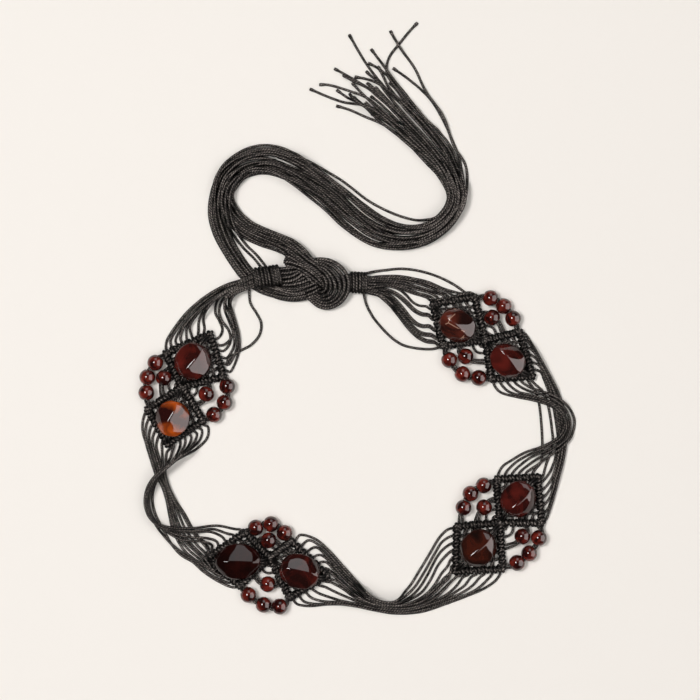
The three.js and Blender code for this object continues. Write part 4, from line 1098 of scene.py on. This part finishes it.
# The knot is an overhand tie. One bundle comes down from the tail, another bows below it
# to the other root, and six cords pass over both in a wide front wrap.
ENLARGED = 11.2
ENLARGED_FROM = (235, 235)
KNOT_CORD = 0.0023
FRONT_WRAP = [
    [(780, 330, 6.4), (865, 290, 8.2), (950, 277, 10), (1080, 300, 11.2), (1190, 370, 11.6),
        (1250, 450, 11.2),
     (1273, 560, 10), (1255, 660, 8.4), (1190, 750, 6.6), (1110, 800, 5), (1030, 820, 3.8),
         (940, 798, 3),
     (850, 730, 2.6), (780, 660, 2)],
    [(800, 350, 7), (880, 312, 8.8), (960, 304, 10.4), (1055, 335, 11.8), (1145, 400, 12.4),
        (1205, 480, 12.2),
     (1225, 570, 11), (1207, 660, 9.4), (1150, 738, 7.6), (1085, 778, 6), (1010, 792, 4.8),
         (930, 768, 3.8),
     (860, 712, 3), (800, 650, 2.4)],
    [(830, 380, 7.4), (900, 336, 9), (975, 338, 10.6), (1055, 385, 12), (1120, 450, 12.8),
        (1162, 520, 12.6),
     (1175, 590, 11.6), (1152, 668, 10), (1102, 728, 8.2), (1040, 757, 6.6), (970, 752, 5.2),
         (900, 715, 4),
     (830, 650, 3)],
    [(850, 400, 7.4), (930, 365, 9), (1000, 380, 10.4), (1058, 440, 12), (1102, 510, 12.6),
        (1122, 580, 12),
     (1106, 650, 10.6), (1062, 702, 9), (1000, 722, 7.2), (930, 702, 5.4), (870, 650, 4)],
    [(900, 410, 7), (965, 398, 8.8), (1010, 430, 10.4), (1052, 495, 11.6), (1072, 570, 11.4),
        (1060, 632, 10),
     (1022, 674, 8.4), (965, 686, 6.8), (905, 662, 5)],
    [(930, 440, 6.4), (975, 450, 8.4), (1010, 500, 9.6), (1026, 565, 9.8), (1012, 618, 8.8),
        (975, 644, 7.4),
     (925, 636, 5.8)],
]
FROM_ABOVE = [
    [(590, 70, 3.6), (665, 108, 5.4), (740, 162, 7.4), (800, 212, 8.8), (860, 270, 9.8),
        (940, 325, 9.6),
     (1000, 380, 8), (1050, 450, 5)],
    [(540, 60, 4.2), (610, 108, 6.4), (690, 172, 8.6), (765, 240, 10), (840, 297, 10.8),
        (920, 352, 10.4),
     (985, 420, 8.6), (1040, 500, 5)],
    [(500, 90, 3), (560, 132, 6.6), (645, 198, 9), (735, 272, 10.6), (822, 338, 11.2), (910, 398, 10.6),
     (975, 462, 8.4), (1030, 550, 4.6)],
    [(470, 90, 4.6), (575, 180, 7), (680, 255, 9.4), (780, 325, 10.8), (870, 385, 10.8),
        (945, 445, 9.4),
     (1000, 520, 6.4), (1040, 600, 4)],
    [(572, 232, 8.2), (620, 255, 8.8), (700, 300, 9.8), (790, 352, 10.6), (880, 415, 10),
        (950, 485, 7.8),
     (1010, 580, 4.4)],
    [(548, 305, 8.6), (640, 315, 9.2), (740, 352, 9.8), (840, 412, 9.8), (925, 482, 8.2),
        (1000, 575, 5)],
    [(575, 345, 7.4), (700, 378, 8.2), (800, 432, 8.6), (888, 500, 7.6), (960, 562, 5.8),
        (1030, 625, 3.6)],
    [(690, 395, 6.6), (790, 462, 7.2), (862, 528, 6.4), (930, 580, 5)],
]
BELOW = [
    [(200, 545, 2.6), (290, 610, 2.2), (370, 655, 2.2), (470, 698, 2.4), (580, 724, 2.6), (690, 728, 3),
     (790, 712, 3.6), (870, 685, 4), (960, 640, 4)],
    [(200, 515, 3.2), (300, 590, 3), (400, 634, 3.4), (500, 668, 3.8), (600, 688, 4.2), (700, 690, 4.6),
     (800, 675, 5.2), (880, 645, 5.4), (960, 600, 5)],
    [(240, 505, 3), (340, 580, 3.8), (430, 607, 4.6), (540, 636, 5.4), (650, 648, 6), (760, 638, 6.4),
     (850, 612, 6.6), (930, 575, 6)],
    [(300, 500, 3), (390, 560, 4.4), (480, 588, 5.4), (590, 604, 6.4), (700, 602, 7), (800, 582, 7.2),
     (885, 548, 6.6), (960, 500, 5)],
    [(340, 500, 3), (430, 545, 4.6), (520, 562, 5.8), (620, 562, 7), (720, 545, 7.6), (810, 515, 7.2),
     (890, 475, 6)],
    [(420, 470, 4.4), (520, 520, 5.8), (605, 522, 7.2), (690, 492, 7.8), (760, 440, 7.2),
        (830, 400, 5.6)],
    [(430, 470, 6.4), (530, 480, 7), (620, 470, 7.2), (710, 430, 6.8), (790, 390, 5.6)],
    [(430, 420, 7.4), (530, 430, 7.8), (620, 425, 7.6), (720, 398, 6.6)],
    [(430, 390, 7), (520, 385, 7.8), (620, 376, 7.8), (720, 372, 6.2)],
]
TO_RIGHT_NECK = [
    [(1000, y, 4.4), (1120, 0.5 * (y + 480) + 30, 4.4), (1260, 0.8 * y + 110, z),
        (1400, 0.8 * y + 110, z)]
    for y, z in ((440, 4.2), (470, 5.4), (500, 5.8), (535, 5.9), (570, 5.8), (600, 5.4), (635, 4.2),
                 (520, 4), (560, 4))
]
WRAP_THICK = 0.0024
HIDDEN_BELOW = 0.0025


def enlarged_route(places):
    return cord_route([on_table(ENLARGED_FROM[0] + x / ENLARGED, ENLARGED_FROM[1] + y / ENLARGED, z * MM)
                       for x, y, z in places])


def hidden_between(first, second):
    """A cord that fills the gap between two others, a little below them."""
    share = np.linspace(0, 1, min(len(first), len(second)))
    ways = []
    for way in (first, second):
        run = np.linspace(0, 1, len(way))
        ways.append(np.stack([np.interp(share, run, way[:, axis]) for axis in range(3)], axis=1))
    middle = (ways[0] + ways[1]) / 2
    middle[:, 2] = np.maximum(middle[:, 2] - HIDDEN_BELOW, KNOT_CORD / 2)
    return middle


knot = [(enlarged_route(places), WRAP_THICK, UPWARD) for places in FRONT_WRAP]
for bundle in (FROM_ABOVE, BELOW, TO_RIGHT_NECK):
    routes = [enlarged_route(places) for places in bundle]
    hidden = [hidden_between(first, second) for first, second in zip(routes, routes[1:])]
    knot += [(route, KNOT_CORD, UPWARD) for route in routes + hidden]
tied = cord_piece("tie_knot_cords", knot)
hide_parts("tie_knot")

# A plain pale table under a wide ceiling light. A small lamp nearly overhead makes the
# spark on every bead, and soft panels at the right and far side show in the beads.
TABLE_SIZE = 6
TABLE_DROP = 0.0002
bpy.ops.mesh.primitive_plane_add(size=TABLE_SIZE, location=(0, 0, -TABLE_DROP))
table = bpy.context.object
table.name = "pale_table"
pale, nodes, links, shader = new_material("pale_table")
shader.inputs["Base Color"].default_value = (0.88, 0.832, 0.778, 1)
shader.inputs["Roughness"].default_value = 0.9
shader.inputs["Specular IOR Level"].default_value = 0.1
table.data.materials.append(pale)


def soft_light(name, direction, distance, width, height, power, tint=(1, 1, 1)):
    """An area light that shines on the middle of the belt."""
    light = bpy.data.lights.new(name, "AREA")
    light.shape = "RECTANGLE"
    light.size = width
    light.size_y = height
    light.energy = power
    light.color = tint
    lamp = bpy.data.objects.new(name, light)
    bpy.context.scene.collection.objects.link(lamp)
    lamp.location = Vector(direction).normalized() * distance
    lamp.rotation_euler = Vector(direction).to_track_quat("Z", "Y").to_euler()
    return lamp


soft_light("overhead_lamp", (-0.33, 0.1, 0.94), 3, 0.7, 0.7, 45)
soft_light("ceiling", (0.04, -0.04, 1), 3, 4, 4, 77).visible_glossy = False
soft_light("far_panel", (0.1, 0.8, 0.6), 5, 2.6, 3.2, 48).visible_diffuse = False
soft_light("side_panel", (0.88, -0.04, 0.5), 5, 7.2, 6.6, 560, (1, 0.88, 0.86)).visible_diffuse = False
world = bpy.data.worlds.new("studio")
world.use_nodes = True
world.node_tree.nodes["Background"].inputs["Color"].default_value = (1, 0.985, 0.97, 1)
room = world.node_tree.nodes["Background"].inputs["Strength"]
seen = world.node_tree.nodes.new("ShaderNodeLightPath")
room_strength = world.node_tree.nodes.new("ShaderNodeMapRange")
room_strength.inputs["To Min"].default_value = 0.03
room_strength.inputs["To Max"].default_value = 0.8
world.node_tree.links.new(seen.outputs["Is Camera Ray"], room_strength.inputs["Value"])
world.node_tree.links.new(room_strength.outputs["Result"], room)
bpy.context.scene.world = world
bpy.context.scene.view_settings.view_transform = "Standard"
